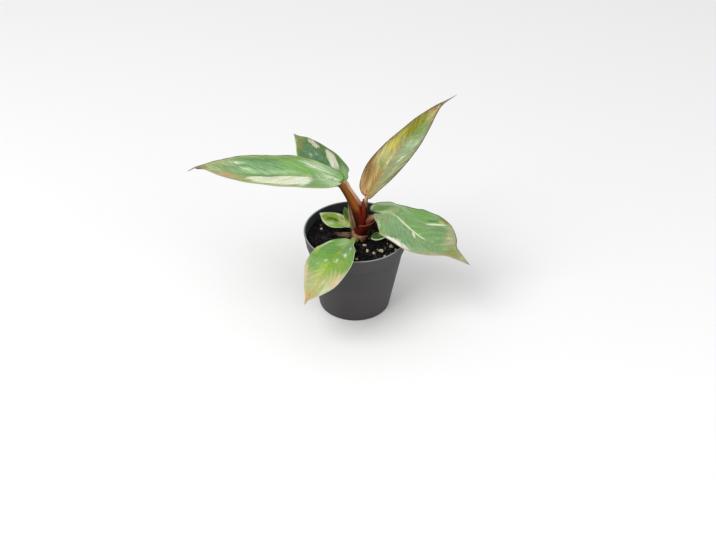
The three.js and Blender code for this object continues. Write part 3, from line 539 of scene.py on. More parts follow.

# Colours of each stalk at its foot, middle and top, how far up the last two lie in mm, the side that
# takes its painted shade, as a share of a turn, and how much that painted shade darkens it.
STALKS = {
    "leaf_long_left": (srgb(98, 18, 0), srgb(150, 76, 0), srgb(134, 78, 16), 15.5, 30, 0.5, 0.85),
    # The back leaf's stalk is pinkish beige, drawn paler in its middle and top as a painted highlight.
    "leaf_back_left": (srgb(104, 24, 4), srgb(216, 172, 144), srgb(226, 190, 156), 16.5, 22, 0.5, 0.3),
    "leaf_upright_right": (srgb(70, 14, 6), srgb(90, 32, 18), srgb(206, 166, 132), 12, 18, 0.0, 0.8),
    "leaf_heart_right": (srgb(144, 66, 50), srgb(148, 84, 64), srgb(160, 136, 100), 5, 9.5, 0.75, 0.3),
    "leaf_front_left": (srgb(150, 116, 84), srgb(150, 138, 80), srgb(136, 156, 74), 3, 7, 0.5, 0.3),
    "leaf_small_left": (srgb(140, 96, 62), srgb(130, 128, 60), srgb(132, 156, 64), 3, 6, 0.5, 0.3),
    "leaf_bud_behind": (srgb(110, 60, 44), srgb(110, 104, 54), srgb(92, 128, 54), 3, 7, 0.5, 0.3),
    "leaf_small_right": (srgb(96, 60, 40), srgb(88, 88, 40), srgb(70, 92, 34), 2, 5, 0.5, 0.3),
}
# The first five leaves are the large ones.
LARGE_LEAVES = list(LEAVES)[:5]

# Half width of the floor and middle of the lamps' light, in metres.
FLOOR_HALF = 3.0
LAMP_TARGET = (0, 0, 0.07)


# Settings


def colour(name, description, red, green, blue):
    """A colour setting, its default given from 0 to 255."""
    return FloatVectorProperty(
        name=name, description=description, default=srgb(red, green, blue), subtype="COLOR", min=0, max=1
    )


def length(name, description, value):
    """A length setting, its default in mm."""
    return FloatProperty(
        name=name, description=description, default=value * MM, min=0, unit="LENGTH", precision=5
    )


def factor(name, description, value):
    """A setting from 0 to 1."""
    return FloatProperty(name=name, description=description, default=value, min=0, max=1, subtype="FACTOR")


def degrees(name, description, value):
    """An angle setting, its default in degrees."""
    return FloatProperty(name=name, description=description, default=math.radians(value), unit="ROTATION")


def level(name, description, value, **options):
    """A setting from 0 up."""
    return FloatProperty(name=name, description=description, default=value, min=0, **options)


def whole(name, description, value):
    """A whole number from 0 up."""
    return IntProperty(name=name, description=description, default=value, min=0)


class PotSettings(bpy.types.PropertyGroup):
    height: length("Height", "Height of the pot over what it stands on", POT_HEIGHT)
    rim_radius: length("Rim radius", "Radius of the pot over its rim", POT_RADIUS)
    wall: length("Wall", "Thickness of the moulded wall", POT_WALL)
    segments: whole("Segments", "Facets round the pot", 160)
    plastic: colour("Plastic", "Charcoal plastic outside", 66, 63, 65)
    collar: colour("Collar", "Collar under the rim", 67, 64, 66)
    # Painted highlight: the lip is drawn pale where the light catches the rim's thin edge.
    lip: colour("Lip", "Thin worn edge of the rim", 176, 180, 176)
    # Painted shade: the inner wall is drawn darker and cooler than the outside, for the shade inside the
    # pot.
    inside: colour("Inside", "Inner wall over the mix", 54, 60, 64)


class MixSettings(bpy.types.PropertyGroup):
    chips: whole("Chips", "Bark chips lying on the mix", 520)
    crumbs: whole("Crumbs", "Small crumbs lying on the mix", 1700)
    roughness: length("Roughness", "Height of the fine lumps in the mix", 0.55)
    dark: colour("Dark bark", "Wet dark bark and peat", 6, 6, 5)
    brown: colour("Brown bark", "Drier brown bark", 30, 24, 18)
    blue: colour("Bluish bark", "Dark bark that shines bluish", 30, 34, 44)
    grey: colour("Grey bark", "Weathered grey bark", 84, 80, 74)
    granule: colour("Granule", "Pale mineral granules", 214, 198, 162)
    granule_pink: colour("Pinkish granule", "Granules of a pinker stone", 200, 176, 156)
    granule_pit: colour("Granule pits", "Pores of the granules, stained by the mix", 132, 108, 78)


class StalkSettings(bpy.types.PropertyGroup):
    stem: colour("Stem", "Deep red stem", 66, 10, 6)
    sleeve: colour("Sleeve", "Maroon sleeve round the stem", 84, 3, 0)
    sleeve_top: colour("Sleeve top", "Sleeve under its rim", 80, 10, 3)
    ring: colour("Sleeve ring", "Pale pink line round the sleeve's rim", 134, 62, 44)
    cup: colour("Cup", "Pinkish cup at the stem's foot", 158, 114, 84)
    # Painted shade: the cup's foot is drawn near black where it lies in shade.
    cup_foot_shade: colour("Cup foot", "Dark foot of the cup", 22, 16, 8)
    spear: colour("Rolled leaf", "Red-brown rolled young leaf", 112, 18, 0)
    spear_tip: colour("Rolled leaf tip", "Paler tip of the rolled leaf", 136, 38, 12)
    sheath: colour("Pale sheath", "Pinkish beige sheath leaf", 192, 158, 120)
    sheath_edge: colour("Pale sheath foot", "Foot and tip of the sheath leaf", 150, 122, 84)
    dried: colour("Dried sheath", "Pinkish brown end of the withered sheath leaf", 132, 104, 78)
    dried_dark: colour("Dried sheath dark", "Dark end of the withered sheath leaf", 54, 44, 26)


class LeafSettings(bpy.types.PropertyGroup):
    thickness: length("Thickness", "Thickness of a blade beside its midrib", 0.5)
    margin_thickness: length("Margin thickness", "Thickness of a blade at its margin", 0.24)
    groove: factor("Midrib groove", "Depth of the groove over the midrib, of the midrib's radius", 0.3)
    quilting: length("Quilting", "How far a blade swells between its side veins", 0.1)
    margin_wave: length("Margin wave", "How far a blade's margin waves up and down", 0.25)
    margin_width: level("Margin line", "Width of the lines along the margins, as a share", 1)
    vein_strength: factor("Veins", "How strongly the side veins show", 0.3)


class ShadeSettings(bpy.types.PropertyGroup):
    green: colour("Green", "Ground green of the larger blades", 126, 160, 104)
    deep_green: colour("Deep green", "Darkest green", 78, 124, 76)
    bright_green: colour("Bright green", "Fresh saturated green", 108, 158, 72)
    blue_green: colour("Blue green", "Cool green", 108, 146, 112)
    grey_green: colour("Grey green", "Pale dull green", 142, 170, 128)
    lime: colour("Lime", "Yellow-green", 142, 172, 58)
    olive: colour("Olive", "Olive ground", 158, 152, 92)
    gold: colour("Gold", "Dark yellow olive", 128, 128, 0)
    yellow: colour("Yellow", "Yellow streaks", 196, 188, 66)
    mint: colour("Mint", "Pale mint green", 190, 214, 170)
    cream: colour("Cream", "Cream patches", 218, 220, 190)
    white: colour("White", "Whitest part of the patches", 216, 224, 202)
    blush: colour("Blush", "Pinkish parts of the patches", 214, 186, 164)
    peach: colour("Peach", "Orange flush", 192, 150, 108)
    tan: colour("Tan", "Brownish bleached parts", 168, 162, 126)
    bronze: colour("Bronze", "Brown flush of the upright leaf", 160, 124, 68)
    red: colour("Red", "Red foot of the upright leaf", 170, 60, 38)
    moss: colour("Moss", "Dark olive green", 114, 138, 72)
    forest: colour("Forest", "Dark fresh green of the small leaves", 50, 86, 2)
    spring: colour("Spring green", "Pale yellow-green of young growth", 190, 212, 130)
    sage: colour("Sage", "Greyish olive", 140, 148, 108)
    straw: colour("Straw", "Pale yellow parts", 190, 182, 122)
    ochre: colour("Ochre", "Yellow-brown tip of the front leaf", 188, 150, 86)
    umber: colour("Umber", "Dark brown parts", 126, 92, 34)
    lilac: colour("Lilac", "Faintly lilac white", 236, 232, 224)
    margin: colour("Margin", "Dark line along the margin", 88, 68, 42)
    underside: colour("Underside", "Flush of the under side", 142, 118, 86)


class StageSettings(bpy.types.PropertyGroup):
    distance: length("Distance", "From the lens to the middle of the view", 1040)
    elevation: degrees("Elevation", "How far the camera looks down", 37.15)
    roll: degrees("Roll", "Turn of the camera about its line of sight", 1.4)
    target: FloatVectorProperty(
        name="Target", description="Middle of the view", default=(1.8 * MM, 0, 22.7 * MM),
        subtype="TRANSLATION", unit="LENGTH",
    )
    lens: FloatProperty(name="Lens", description="Focal length in mm", default=85, min=1)
    key_power: level("Key light", "Power of the key light", 7.5, unit="POWER")
    fill_power: level("Fill light", "Power of the fill light", 3, unit="POWER")
    surround: level("Surround", "Strength of the even light all round", 0.62)
    floor: colour("Floor", "Plain pale floor", 250, 250, 250)


class PlantSettings(bpy.types.PropertyGroup):
    pot: PointerProperty(type=PotSettings, name="Pot", description="The grower's pot")
    mix: PointerProperty(type=MixSettings, name="Mix", description="The potting mix and what lies on it")
    stalk: PointerProperty(type=StalkSettings, name="Stalks", description="Stem, sheaths and rolled leaf")
    leaf: PointerProperty(type=LeafSettings, name="Leaves", description="Forms of the blades")
    shades: PointerProperty(type=ShadeSettings, name="Shades", description="Colours of the blades")
    stage: PointerProperty(type=StageSettings, name="Stage", description="Floor, camera and lights")

# Curves and surfaces, in mm


def unit(vectors):
    return vectors / np.linalg.norm(vectors, axis=-1, keepdims=True)


def between(first, last, share):
    return first + (last - first) * share


def smoothstep(low, high, values):
    share = np.clip((values - low) / (high - low), 0, 1)
    return share * share * (3 - 2 * share)


def crowded(count, strength):
    """Shares from 0 to 1, closer together near both ends."""
    share = np.linspace(0, 1, count + 1)
    return share - strength * np.sin(2 * np.pi * share)


def on_circle(radius, angle):
    return radius * math.cos(angle), radius * math.sin(angle)


def travelled(points):
    """The distance from the first of a row of points to each."""
    return np.r_[0, np.cumsum(np.linalg.norm(np.diff(points, axis=0), axis=1))]


class Curve:
    """A smooth curve through points with any number of columns, read by its share of the length."""

    def __init__(self, points, steps=48):
        ends = np.array(points, float)
        ends = np.vstack([2 * ends[0] - ends[1], ends, 2 * ends[-1] - ends[-2]])
        spans = len(ends) - 3
        place = np.linspace(0, spans, spans * steps + 1)
        span = np.minimum(place.astype(int), spans - 1)
        f = (place - span)[:, None]
        a, b, c, d = (ends[span + i] for i in range(4))
        bend, twist = 2 * a - 5 * b + 4 * c - d, 3 * b - a - 3 * c + d
        self.points = 0.5 * (2 * b + (c - a) * f + bend * f**2 + twist * f**3)
        self.slopes = 0.5 * (c - a + 2 * bend * f + 3 * twist * f**2)
        distances = travelled(self.points)
        self.length = distances[-1]
        self.shares = distances / self.length

    def read(self, rows, share):
        return np.stack([np.interp(share, self.shares, column) for column in rows.T], -1)

    def at(self, share):
        return self.read(self.points, share)

    def tangent(self, share):
        return unit(self.read(self.slopes, share))


class Blade:
    """The mid-surface of a leaf's blade, in leaf coordinates."""

    def __init__(self, leaf):
        self.leaf = leaf
        self.spine = Curve(leaf["spine"])
        self.length = self.spine.length
        self.outline = {}
        for side in ("left", "right"):
            points = [(share * self.length, width) for share, width in leaf[side]]
            self.outline[side] = Curve(points)
        self.half_width = max(width for side in ("left", "right") for _, width in leaf[side])

    def frames(self, share):
        """Points on the spine, their direction, the way the blade faces, and the way to the left margin."""
        inside = np.clip(share, 0, 1)
        tangent = self.spine.tangent(inside)
        point = self.spine.at(inside) + tangent * ((share - inside) * self.length)[..., None]
        base, tip = unit(np.array(self.leaf["face"], float))
        facing = between(base, tip, smoothstep(0, 1, inside)[..., None])
        facing = unit(facing - tangent * np.sum(facing * tangent, -1, keepdims=True))
        return point, tangent, facing, np.cross(facing, tangent)

    def at(self, share, offset):
        """Each half leaves the midrib at its rise angle and curls down in an arc."""
        point, _, facing, left = self.frames(share)
        inside = np.clip(share, 0, 1)
        rises = {side: np.radians(between(*ends, inside)) for side, ends in self.leaf["rise"].items()}
        rise = np.where(offset >= 0, rises["left"], rises["right"])
        bend = math.radians(self.leaf["curl"]) / self.half_width
        end = rise - bend * np.abs(offset)
        sideways = np.sign(offset) * (np.sin(rise) - np.sin(end)) / bend
        upwards = (np.cos(end) - np.cos(rise)) / bend
        return point + left * sideways[..., None] + facing * upwards[..., None]

    def normal(self, share, offset):
        step, side_step = 0.002, 0.1
        along = self.at(share + step, offset) - self.at(share - step, offset)
        across = self.at(share, offset + side_step) - self.at(share, offset - side_step)
        return unit(np.cross(along, across))

    def coordinates(self, row, column):
        """Leaf coordinates at a share of the rows and a column from -1 (right margin) to 1 (left)."""
        margins = {side: self.outline[side].at(row) for side in ("left", "right")}
        margin = np.where((column >= 0)[..., None], margins["left"], margins["right"])
        share = row + (margin[..., 0] / self.length - row) * np.abs(column)
        return share, margin[..., 1] * column


# Meshes


class Shape:
    """A mesh in the making: points, faces, their material slots and flat coordinates."""

    MAPS = ("leaf", "vein", "edge", "stalk", "grain")

    def __init__(self):
        self.points = []
        self.faces = []
        self.slots = []
        self.maps = {name: [] for name in self.MAPS}

    def add(self, points, faces, slot=0, **maps):
        """Adds a part, and gives the shape. A map holds a pair for each point, or for each corner."""
        start = sum(len(part) for part in self.points)
        self.points.append(np.asarray(points, float))
        self.faces += [tuple(start + corner for corner in face) for face in faces]
        self.slots += list(slot) if np.ndim(slot) else [slot] * len(faces)
        corners = np.concatenate([np.array(face) for face in faces])
        for name in self.MAPS:
            values = np.asarray(maps.get(name, np.zeros((len(points), 2))), float)
            self.maps[name].append(values if len(values) == len(corners) else values[corners])
        return self

    def mesh(self, label, materials, sharp_angle=40):
        mesh = bpy.data.meshes.new(label)
        mesh.from_pydata((np.concatenate(self.points) * MM).tolist(), [], self.faces)
        for material in materials:
            mesh.materials.append(material)
        mesh.polygons.foreach_set("material_index", self.slots)
        for name, values in self.maps.items():
            pairs = np.concatenate(values).astype(np.float32)
            if pairs.any():
                mesh.uv_layers.new(name=name).data.foreach_set("uv", pairs.ravel())
        mesh.update()
        return smoothed(mesh, sharp_angle)


def smoothed(mesh, sharp_angle=40):
    """The mesh shaded smooth, but for edges with more than that many degrees between their faces."""
    mesh.shade_smooth()
    mesh.set_sharp_from_angle(angle=math.radians(sharp_angle))
    return mesh


def combine(base, other, operation):
    """Joins two closed meshes, or cuts the second from the first, into one closed mesh."""
    pair = [bpy.data.objects.new("working", mesh) for mesh in (base, other)]
    for working in pair:
        bpy.context.scene.collection.objects.link(working)
    boolean = pair[0].modifiers.new("combine", "BOOLEAN")
    boolean.object, boolean.operation, boolean.solver = pair[1], operation, "MANIFOLD"
    depsgraph = bpy.context.evaluated_depsgraph_get()
    mesh = bpy.data.meshes.new_from_object(
        pair[0].evaluated_get(depsgraph), preserve_all_data_layers=True, depsgraph=depsgraph
    )
    for working in pair:
        bpy.data.objects.remove(working)
    if not mesh.polygons:
        raise RuntimeError(f"{operation} of {base.name} and {other.name} left nothing")
    mesh.name = base.name
    return smoothed(mesh)


def add_piece(name, mesh, slot, *nodes):
    """Shows a finished mesh as a piece of the plant, in place of the solids whose nodes are named."""
    piece = bpy.data.objects.new(name, mesh)
    mesh.name = name
    bpy.context.scene.collection.objects.link(piece)
    if nodes:
        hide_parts(*nodes)
    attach(piece, "root")


def closed_rings(count, sides, start, first, last):
    """Faces of a closed body of rings of points, with a point at each end. The rings' points begin
    at the start. Each corner comes with its share of a turn and the number of its ring."""
    faces, corners = [], []
    final = start + (count - 1) * sides
    for k in range(sides):
        following = (k + 1) % sides
        low, high = k / sides, (k + 1) / sides
        faces.append((first, start + following, start + k))
        corners += [(low, 0), (high, 0), (low, 0)]
        faces.append((last, final + k, final + following))
        corners += [(low, count - 1), (low, count - 1), (high, count - 1)]
        for i in range(count - 1):
            a, b = start + i * sides, start + (i + 1) * sides
            faces.append((a + k, a + following, b + following, b + k))
            corners += [(low, i), (high, i), (high, i + 1), (low, i + 1)]
    return faces, corners


# Ends of a tube, as (change of radius as a share of it, way past the end as a share of it).
DOME = [(-0.08, 0.1), (-0.3, 0.2), (-0.65, 0.28)]
POINT = [(-0.15, 0.2), (-0.45, 0.6), (-0.8, 0.95)]
FLAT = [(-0.02, 0.02), (-0.07, 0.04)]
# How far an end's middle stands out, as a share of the last ring's radius.
END_RISE = 0.02


def tube(path, sides=24, grow=0.0, section=None, ends=(DOME, DOME)):
    """A closed tube round a path of (x, y, z, radius). Returns points, faces and stalk coordinates,
    which are the angle as a share of a turn and the distance along.
    section(angle, distance) gives the radius as a share of the path's."""
    curve = Curve(path, steps=8)
    centres, radii = curve.points[:, :3], curve.points[:, 3] + grow
    tangents = unit(curve.slopes[:, :3])
    distances = travelled(centres)

    def end_rings(index, way, end):
        """Rings that close the path's end with that index, going that way along it."""
        centre, tangent, radius = centres[index], tangents[index], radii[index]
        return [
            (centre + way * tangent * radius * past, tangent, radius * (1 + change),
             distances[index] + way * radius * past)
            for change, past in end
        ]

    rings = end_rings(0, -1, ends[0])[::-1]
    rings += zip(centres, tangents, radii, distances)
    rings += end_rings(-1, 1, ends[1])
    angles = np.linspace(0, 2 * np.pi, sides, endpoint=False)
    normal = np.array([1.0, 0, 0]) if abs(tangents[0][0]) < 0.8 else np.array([0, 1.0, 0])
    points = []
    for centre, tangent, radius, distance in rings:
        normal = unit(normal - tangent * (normal @ tangent))
        side = np.cross(tangent, normal)
        reach = radius * (section(angles, distance) if section else np.ones(sides))
        ring = centre + np.outer(reach * np.cos(angles), normal)
        points.append(ring + np.outer(reach * np.sin(angles), side))
    for index, way in ((0, -1), (-1, 1)):
        centre, tangent, radius, _ = rings[index]
        points.append([centre + way * tangent * END_RISE * radius])
    first = len(rings) * sides
    faces, corners = closed_rings(len(rings), sides, 0, first, first + 1)
    return np.concatenate(points), faces, [(turn, rings[ring][3]) for turn, ring in corners]


def tube_mesh(name, path, materials, slot=0, **options):
    points, faces, stalk = tube(path, **options)
    return Shape().add(points, faces, slot, stalk=stalk).mesh(name, materials)


def lathe(profile, segments):
    """A closed body turned round the Z axis from a profile of (radius, z) that starts and ends on it."""
    angles = np.linspace(0, 2 * np.pi, segments, endpoint=False)
    points = [(0, 0, profile[0][1]), (0, 0, profile[-1][1])]
    for radius, z in profile[1:-1]:
        points += [(*on_circle(radius, angle), z) for angle in angles]
    faces, _ = closed_rings(len(profile) - 2, segments, 2, 0, 1)
    return np.array(points), faces


SPHERES = {}


def icosphere(levels):
    """Points and faces of a unit sphere of triangles, kept for the next call."""
    if levels not in SPHERES:
        sphere = bmesh.new()
        bmesh.ops.create_icosphere(sphere, subdivisions=levels + 1, radius=1)
        sphere.verts.index_update()
        points = np.array([tuple(vertex.co) for vertex in sphere.verts])
        SPHERES[levels] = points, [tuple(vertex.index for vertex in face.verts) for face in sphere.faces]
        sphere.free()
    return SPHERES[levels]


def pebble(rng, size, levels, roughness, pitting=0.0):
    """A lumpy stone or chip round the origin, with half sizes in mm."""
    points, faces = icosphere(levels)
    phase = Vector(rng.uniform(0, 50, 3))
    scaled = []
    for point in points:
        spot = Vector(point)
        lump = noise.fractal(spot * 1.3 + phase, 1.0, 2.0, 3)
        pits = max(0.0, noise.noise(spot * 5.0 + phase) - 0.2) * pitting
        scaled.append(point * (1 + roughness * lump * 2 - pits))
    return np.array(scaled) * size, faces


# Leaves

# Material slots of a leaf's mesh.
UPPER, UNDER, STALK, SHEATH = range(4)
# How far the rim of a blade bulges beyond its outline, in mm.
RIM_BULGE = 0.08
# Half width in mm of a blade whose margin waves by the full setting.
WAVED_HALF_WIDTH = 14
# How far the midrib's top is sunk into the under side of the blade, in mm.
MIDRIB_BITE = 0.14
MIDRIB_SHARES = (0.04, 0.12, 0.2, 0.3, 0.4, 0.5, 0.6, 0.7, 0.78, 0.85, 0.9, 0.94)


def side_veins(blade, rows, columns, offset):
    """A coordinate in mm that is the same all along a side vein."""
    reach = np.abs(offset) * (0.6 + 0.4 * np.abs(columns))
    fan = 0.15 + 0.85 * smoothstep(0, 0.16, rows)
    return rows * blade.length - blade.leaf["lean"] * reach * fan


def margin_distance(blade, share, offset):
    """How far each point of the blade lies from its margin, in mm."""
    left, right = blade.outline["left"].points, blade.outline["right"].points * (1, -1)
    margin = np.concatenate([left, right])[::3]
    spots = np.stack([share * blade.length, offset], -1)
    return np.min(np.linalg.norm(spots[..., None, :] - margin, axis=-1), axis=-1)


def shell_faces(rows, columns):
    """Faces and material slots of a blade's shell. Its points are the two ends and the rows between
    them of the upper side, the same of the under side, the rim's two sides, and the rim's ends."""
    inner = (rows - 1) * columns
    upper = np.zeros((rows + 1, columns), int)
    upper[-1] = 1
    upper[1:-1] = 2 + np.arange(inner).reshape(rows - 1, -1)
    under = upper + inner + 2
    rim = np.zeros((rows + 1, 2), int)
    rim[1:-1] = np.arange((rows - 1) * 2).reshape(-1, 2)
    rim[[0, -1]] = [[(rows - 1) * 2] * 2, [(rows - 1) * 2 + 1] * 2]
    rim += 2 * (inner + 2)
    faces, slots = [], []

    def add(slot, *corners):
        corners = list(dict.fromkeys(int(corner) for corner in corners))
        if len(corners) > 2:
            faces.append(tuple(corners))
            slots.append(slot)

    for i in range(rows):
        for j in range(columns - 1):
            add(UPPER, upper[i, j], upper[i + 1, j], upper[i + 1, j + 1], upper[i, j + 1])
            add(UNDER, under[i, j], under[i, j + 1], under[i + 1, j + 1], under[i + 1, j])
        add(UPPER, upper[i, -1], upper[i + 1, -1], rim[i + 1, 1], rim[i, 1])
        add(UNDER, rim[i, 1], rim[i + 1, 1], under[i + 1, -1], under[i, -1])
        add(UPPER, upper[i + 1, 0], upper[i, 0], rim[i, 0], rim[i + 1, 0])
        add(UNDER, rim[i + 1, 0], rim[i, 0], under[i, 0], under[i + 1, 0])
    return faces, slots


def blade_shape(blade, settings):
    """The blade as one thin closed shell, quilted between its side veins and waved at its margin."""
    leaf = blade.leaf
    rows, halves = leaf["grid"]
    half = crowded(halves, strength=0.08)
    columns = np.r_[-half[::-1], half[1:]]
    row, column = np.meshgrid(crowded(rows, strength=0.07), columns, indexing="ij")
    share, offset = blade.coordinates(row, column)
    vein = side_veins(blade, row, column, offset)
    middle, normal = blade.at(share, offset), blade.normal(share, offset)
    across = np.abs(column)
    ends = np.sin(np.pi * row) ** 0.5

    swells = np.sin(2 * np.pi * vein / leaf["vein_spacing"]) * np.sin(np.pi * across) ** 0.7
    quilt = settings.quilting / MM * swells * ends
    turns = 2 * np.pi * row * leaf["waves"]
    ripple = np.sin(turns + np.where(column >= 0, 0.0, 2.1)) + 0.4 * np.sin(turns * 2.3)
    wave = settings.margin_wave / MM * blade.half_width / WAVED_HALF_WIDTH * across**3 * ripple * ends
    rib = between(*leaf["midrib"], row)
    groove = settings.groove * rib * np.exp(-((offset / (0.6 * rib)) ** 2)) * smoothstep(0, 0.05, 1 - row)
    thickness = between(settings.thickness / MM, settings.margin_thickness / MM, across**2)
    middle = middle + normal * (quilt + wave - groove)[..., None]
    height = normal * (thickness / 2)[..., None]

    outward = np.where(columns >= 0, 1.0, -1.0)[[0, -1]]
    margins = [0, len(columns) - 1]
    rim = blade.at(share[1:-1, margins], offset[1:-1, margins] + RIM_BULGE * outward)
    rim = rim + normal[1:-1, margins] * wave[1:-1, margins][..., None]
    rim_ends = middle[[0, -1], 0] + blade.frames(np.array([0.0, 1.0]))[1] * [[-RIM_BULGE], [RIM_BULGE]]

    def side(grid):
        """A grid's values at its two ends, and then row by row between them."""
        return np.concatenate([grid[[0, -1], 0], grid[1:-1].reshape(-1, *grid.shape[2:])])

    def everywhere(first, second):
        """A pair of values for each point of the shell."""
        pair = np.stack([first, second], -1)
        rims = pair[1:-1][:, margins].reshape(-1, 2)
        return np.concatenate([side(pair), side(pair), rims, pair[[0, -1], 0]])

    points = [side(middle + height), side(middle - height), rim.reshape(-1, 3), rim_ends]
    return Shape().add(
        np.concatenate(points), *shell_faces(rows, len(columns)),
        leaf=everywhere(share * blade.length, offset),
        vein=everywhere(vein, column),
        edge=everywhere(margin_distance(blade, share, offset), row),
    )


def stalk_path(blade, settings):
    """The petiole, running on under the blade as its midrib, whose top it touches."""
    path = list(blade.leaf["petiole"])
    for share in MIDRIB_SHARES:
        radius = between(*blade.leaf["midrib"], share)
        point, _, facing, _ = blade.frames(np.array(share))
        under_side = settings.thickness / MM / 2 + settings.groove * radius
        path.append((*(point - facing * (radius + under_side - MIDRIB_BITE)), radius))
    return path


def leaf_mesh(name, materials, settings):
    blade = Blade(LEAVES[name])
    mesh = blade_shape(blade, settings).mesh(name, materials)
    foot_radius = LEAVES[name]["petiole"][0][3]

    def furrowed(angle, distance):
        """A petiole is a little ridged, a thick one most of all."""
        ridges = 0.02 * np.sin(5 * angle + 0.7) + 0.012 * np.sin(9 * angle + distance * 0.05)
        return 1 + ridges * min(1.0, foot_radius / 2)

    path = stalk_path(blade, settings)
    stalk = tube_mesh(name + " stalk", path, materials, STALK, sides=28, section=furrowed)
    return combine(mesh, stalk, "UNION")


# Pot and mix


def inner_wall(height, rim, wall):
    """The pot's inner wall as (radius, z), from its floor to its rim."""
    collar_foot = height - POT_COLLAR["height"]
    out, up = POT_COLLAR["inside"]
    return [
        (POT_FOOT["radius"] - wall + POT_FOOT["flare"], POT_FOOT["recess"] + POT_FOOT["floor"]),
        (POT_COLLAR["body_radius"] - wall + out, collar_foot + up),
        (POT_COLLAR["foot_radius"] - wall, collar_foot),
        (rim - wall, height),
    ]


def pot_profile(settings):
    """The pot's outline from the middle of its underside round the rim to the middle of its floor."""
    height, rim, wall = (value / MM for value in (settings.height, settings.rim_radius, settings.wall))
    foot, recess = POT_FOOT["radius"], POT_FOOT["recess"]
    ring, hub = foot - POT_FOOT["ring_width"], POT_FOOT["hub_radius"]
    edge, outer_edge = POT_FOOT["edge"], POT_FOOT["outer_edge"]
    collar_foot, lip = height - POT_COLLAR["height"], wall / 2

    def arc(radius, z, size, start, end, steps):
        turns = [math.radians(between(start, end, i / steps)) for i in range(steps + 1)]
        return [(radius + size * math.cos(a), z + size * math.sin(a)) for a in turns]

    def straight(start, end, steps):
        shares = [(i + 1) / (steps + 1) for i in range(steps)]
        return [tuple(between(a, b, share) for a, b in zip(start, end)) for share in shares]

    def eased(radius, name):
        return [(radius + out, collar_foot + up) for out, up in POT_COLLAR[name]]

    under, step = eased(POT_COLLAR["body_radius"], "under"), eased(POT_COLLAR["foot_radius"], "step")
    lip_ring = arc(rim - lip, height - lip, lip, 0, 180, 8)
    floor_edge, body_top, collar_inside, _ = inner_wall(height, rim, wall)
    bottom_edge = arc(foot - outer_edge, outer_edge, outer_edge, -90, 0, 4)
    profile = [(0, 0)] + arc(hub - edge, edge, edge, -90, -30, 3)
    profile += [(hub + recess, recess), (ring - recess, recess)]
    profile += arc(ring + edge, edge, edge, -150, -90, 3)
    profile += bottom_edge + straight(bottom_edge[-1], under[0], 24) + under + step
    profile += straight(step[-1], lip_ring[0], 8) + lip_ring + straight(lip_ring[-1], collar_inside, 8)
    profile += [collar_inside, body_top] + straight(body_top, floor_edge, 16)
    return profile + [floor_edge, (0, floor_edge[1])]


def wall_radius(z):
    """Radius of the pot's inner wall at a height."""
    radii, heights = zip(*inner_wall(POT_HEIGHT, POT_RADIUS, POT_WALL))
    return float(np.interp(z, heights, radii))


def mix_height(x, y):
    """Height of the potting mix's surface: a mound at the stem and crossing ripples."""
    stem_x, stem_y = STEM[1][:2]
    distance = np.hypot(x - stem_x, y - stem_y)
    height = MIX_LEVEL + MIX_MOUND["height"] * np.exp(-distance / MIX_MOUND["radius"])
    relief = MIX_RELIEF / math.sqrt(len(MIX_RIPPLES))
    for direction, wavelength, phase in MIX_RIPPLES:
        heading = math.radians(direction)
        along = x * math.cos(heading) + y * math.sin(heading)
        height = height + relief * np.sin(2 * np.pi * along / wavelength + phase)
    return height


def surface_lumps(x, y, height):
    """Fine lumps of the mix at one place, in mm, for lumps of the given height."""
    spot = Vector((x, y, 0))
    coarse = noise.ridged_multi_fractal(spot * 0.34, 0.9, 2.1, 4, 0.9, 1.6)
    fine = noise.fractal(spot * 1.9, 0.8, 2.0, 3)
    return height * (0.55 * (coarse - 0.9) + 0.6 * fine)


def mix_shape(roughness):
    """The potting mix, lumpy on top, as rings from the middle of its surface out and down to its floor."""
    sides, rings = MIX_GRID
    base = POT_FOOT["recess"] + POT_FOOT["floor"] + MIX_GAPS["floor"]
    edge = wall_radius(MIX_LEVEL) - MIX_GAPS["wall"]
    angles = np.linspace(0, 2 * np.pi, sides, endpoint=False)
    points = [(0, 0, base)]
    for k in range(rings):
        for x, y in (on_circle(edge * (k + 1) / rings, angle) for angle in angles):
            points.append((x, y, mix_height(x, y) + surface_lumps(x, y, roughness)))
    below = [(30, 0), (15, 0), (base + MIX_BEVEL, 0), (base, MIX_BEVEL)]
    for z, inset in below:
        radius = wall_radius(z) - MIX_GAPS["wall"] - inset
        points += [(*on_circle(radius, angle), z) for angle in angles]
    top = len(points)
    points.append((0, 0, mix_height(0, 0)))
    faces, _ = closed_rings(rings + len(below), sides, 1, top, 0)
    return Shape().add(points, [(face[0], *face[:0:-1]) for face in faces])


# Shader nodes


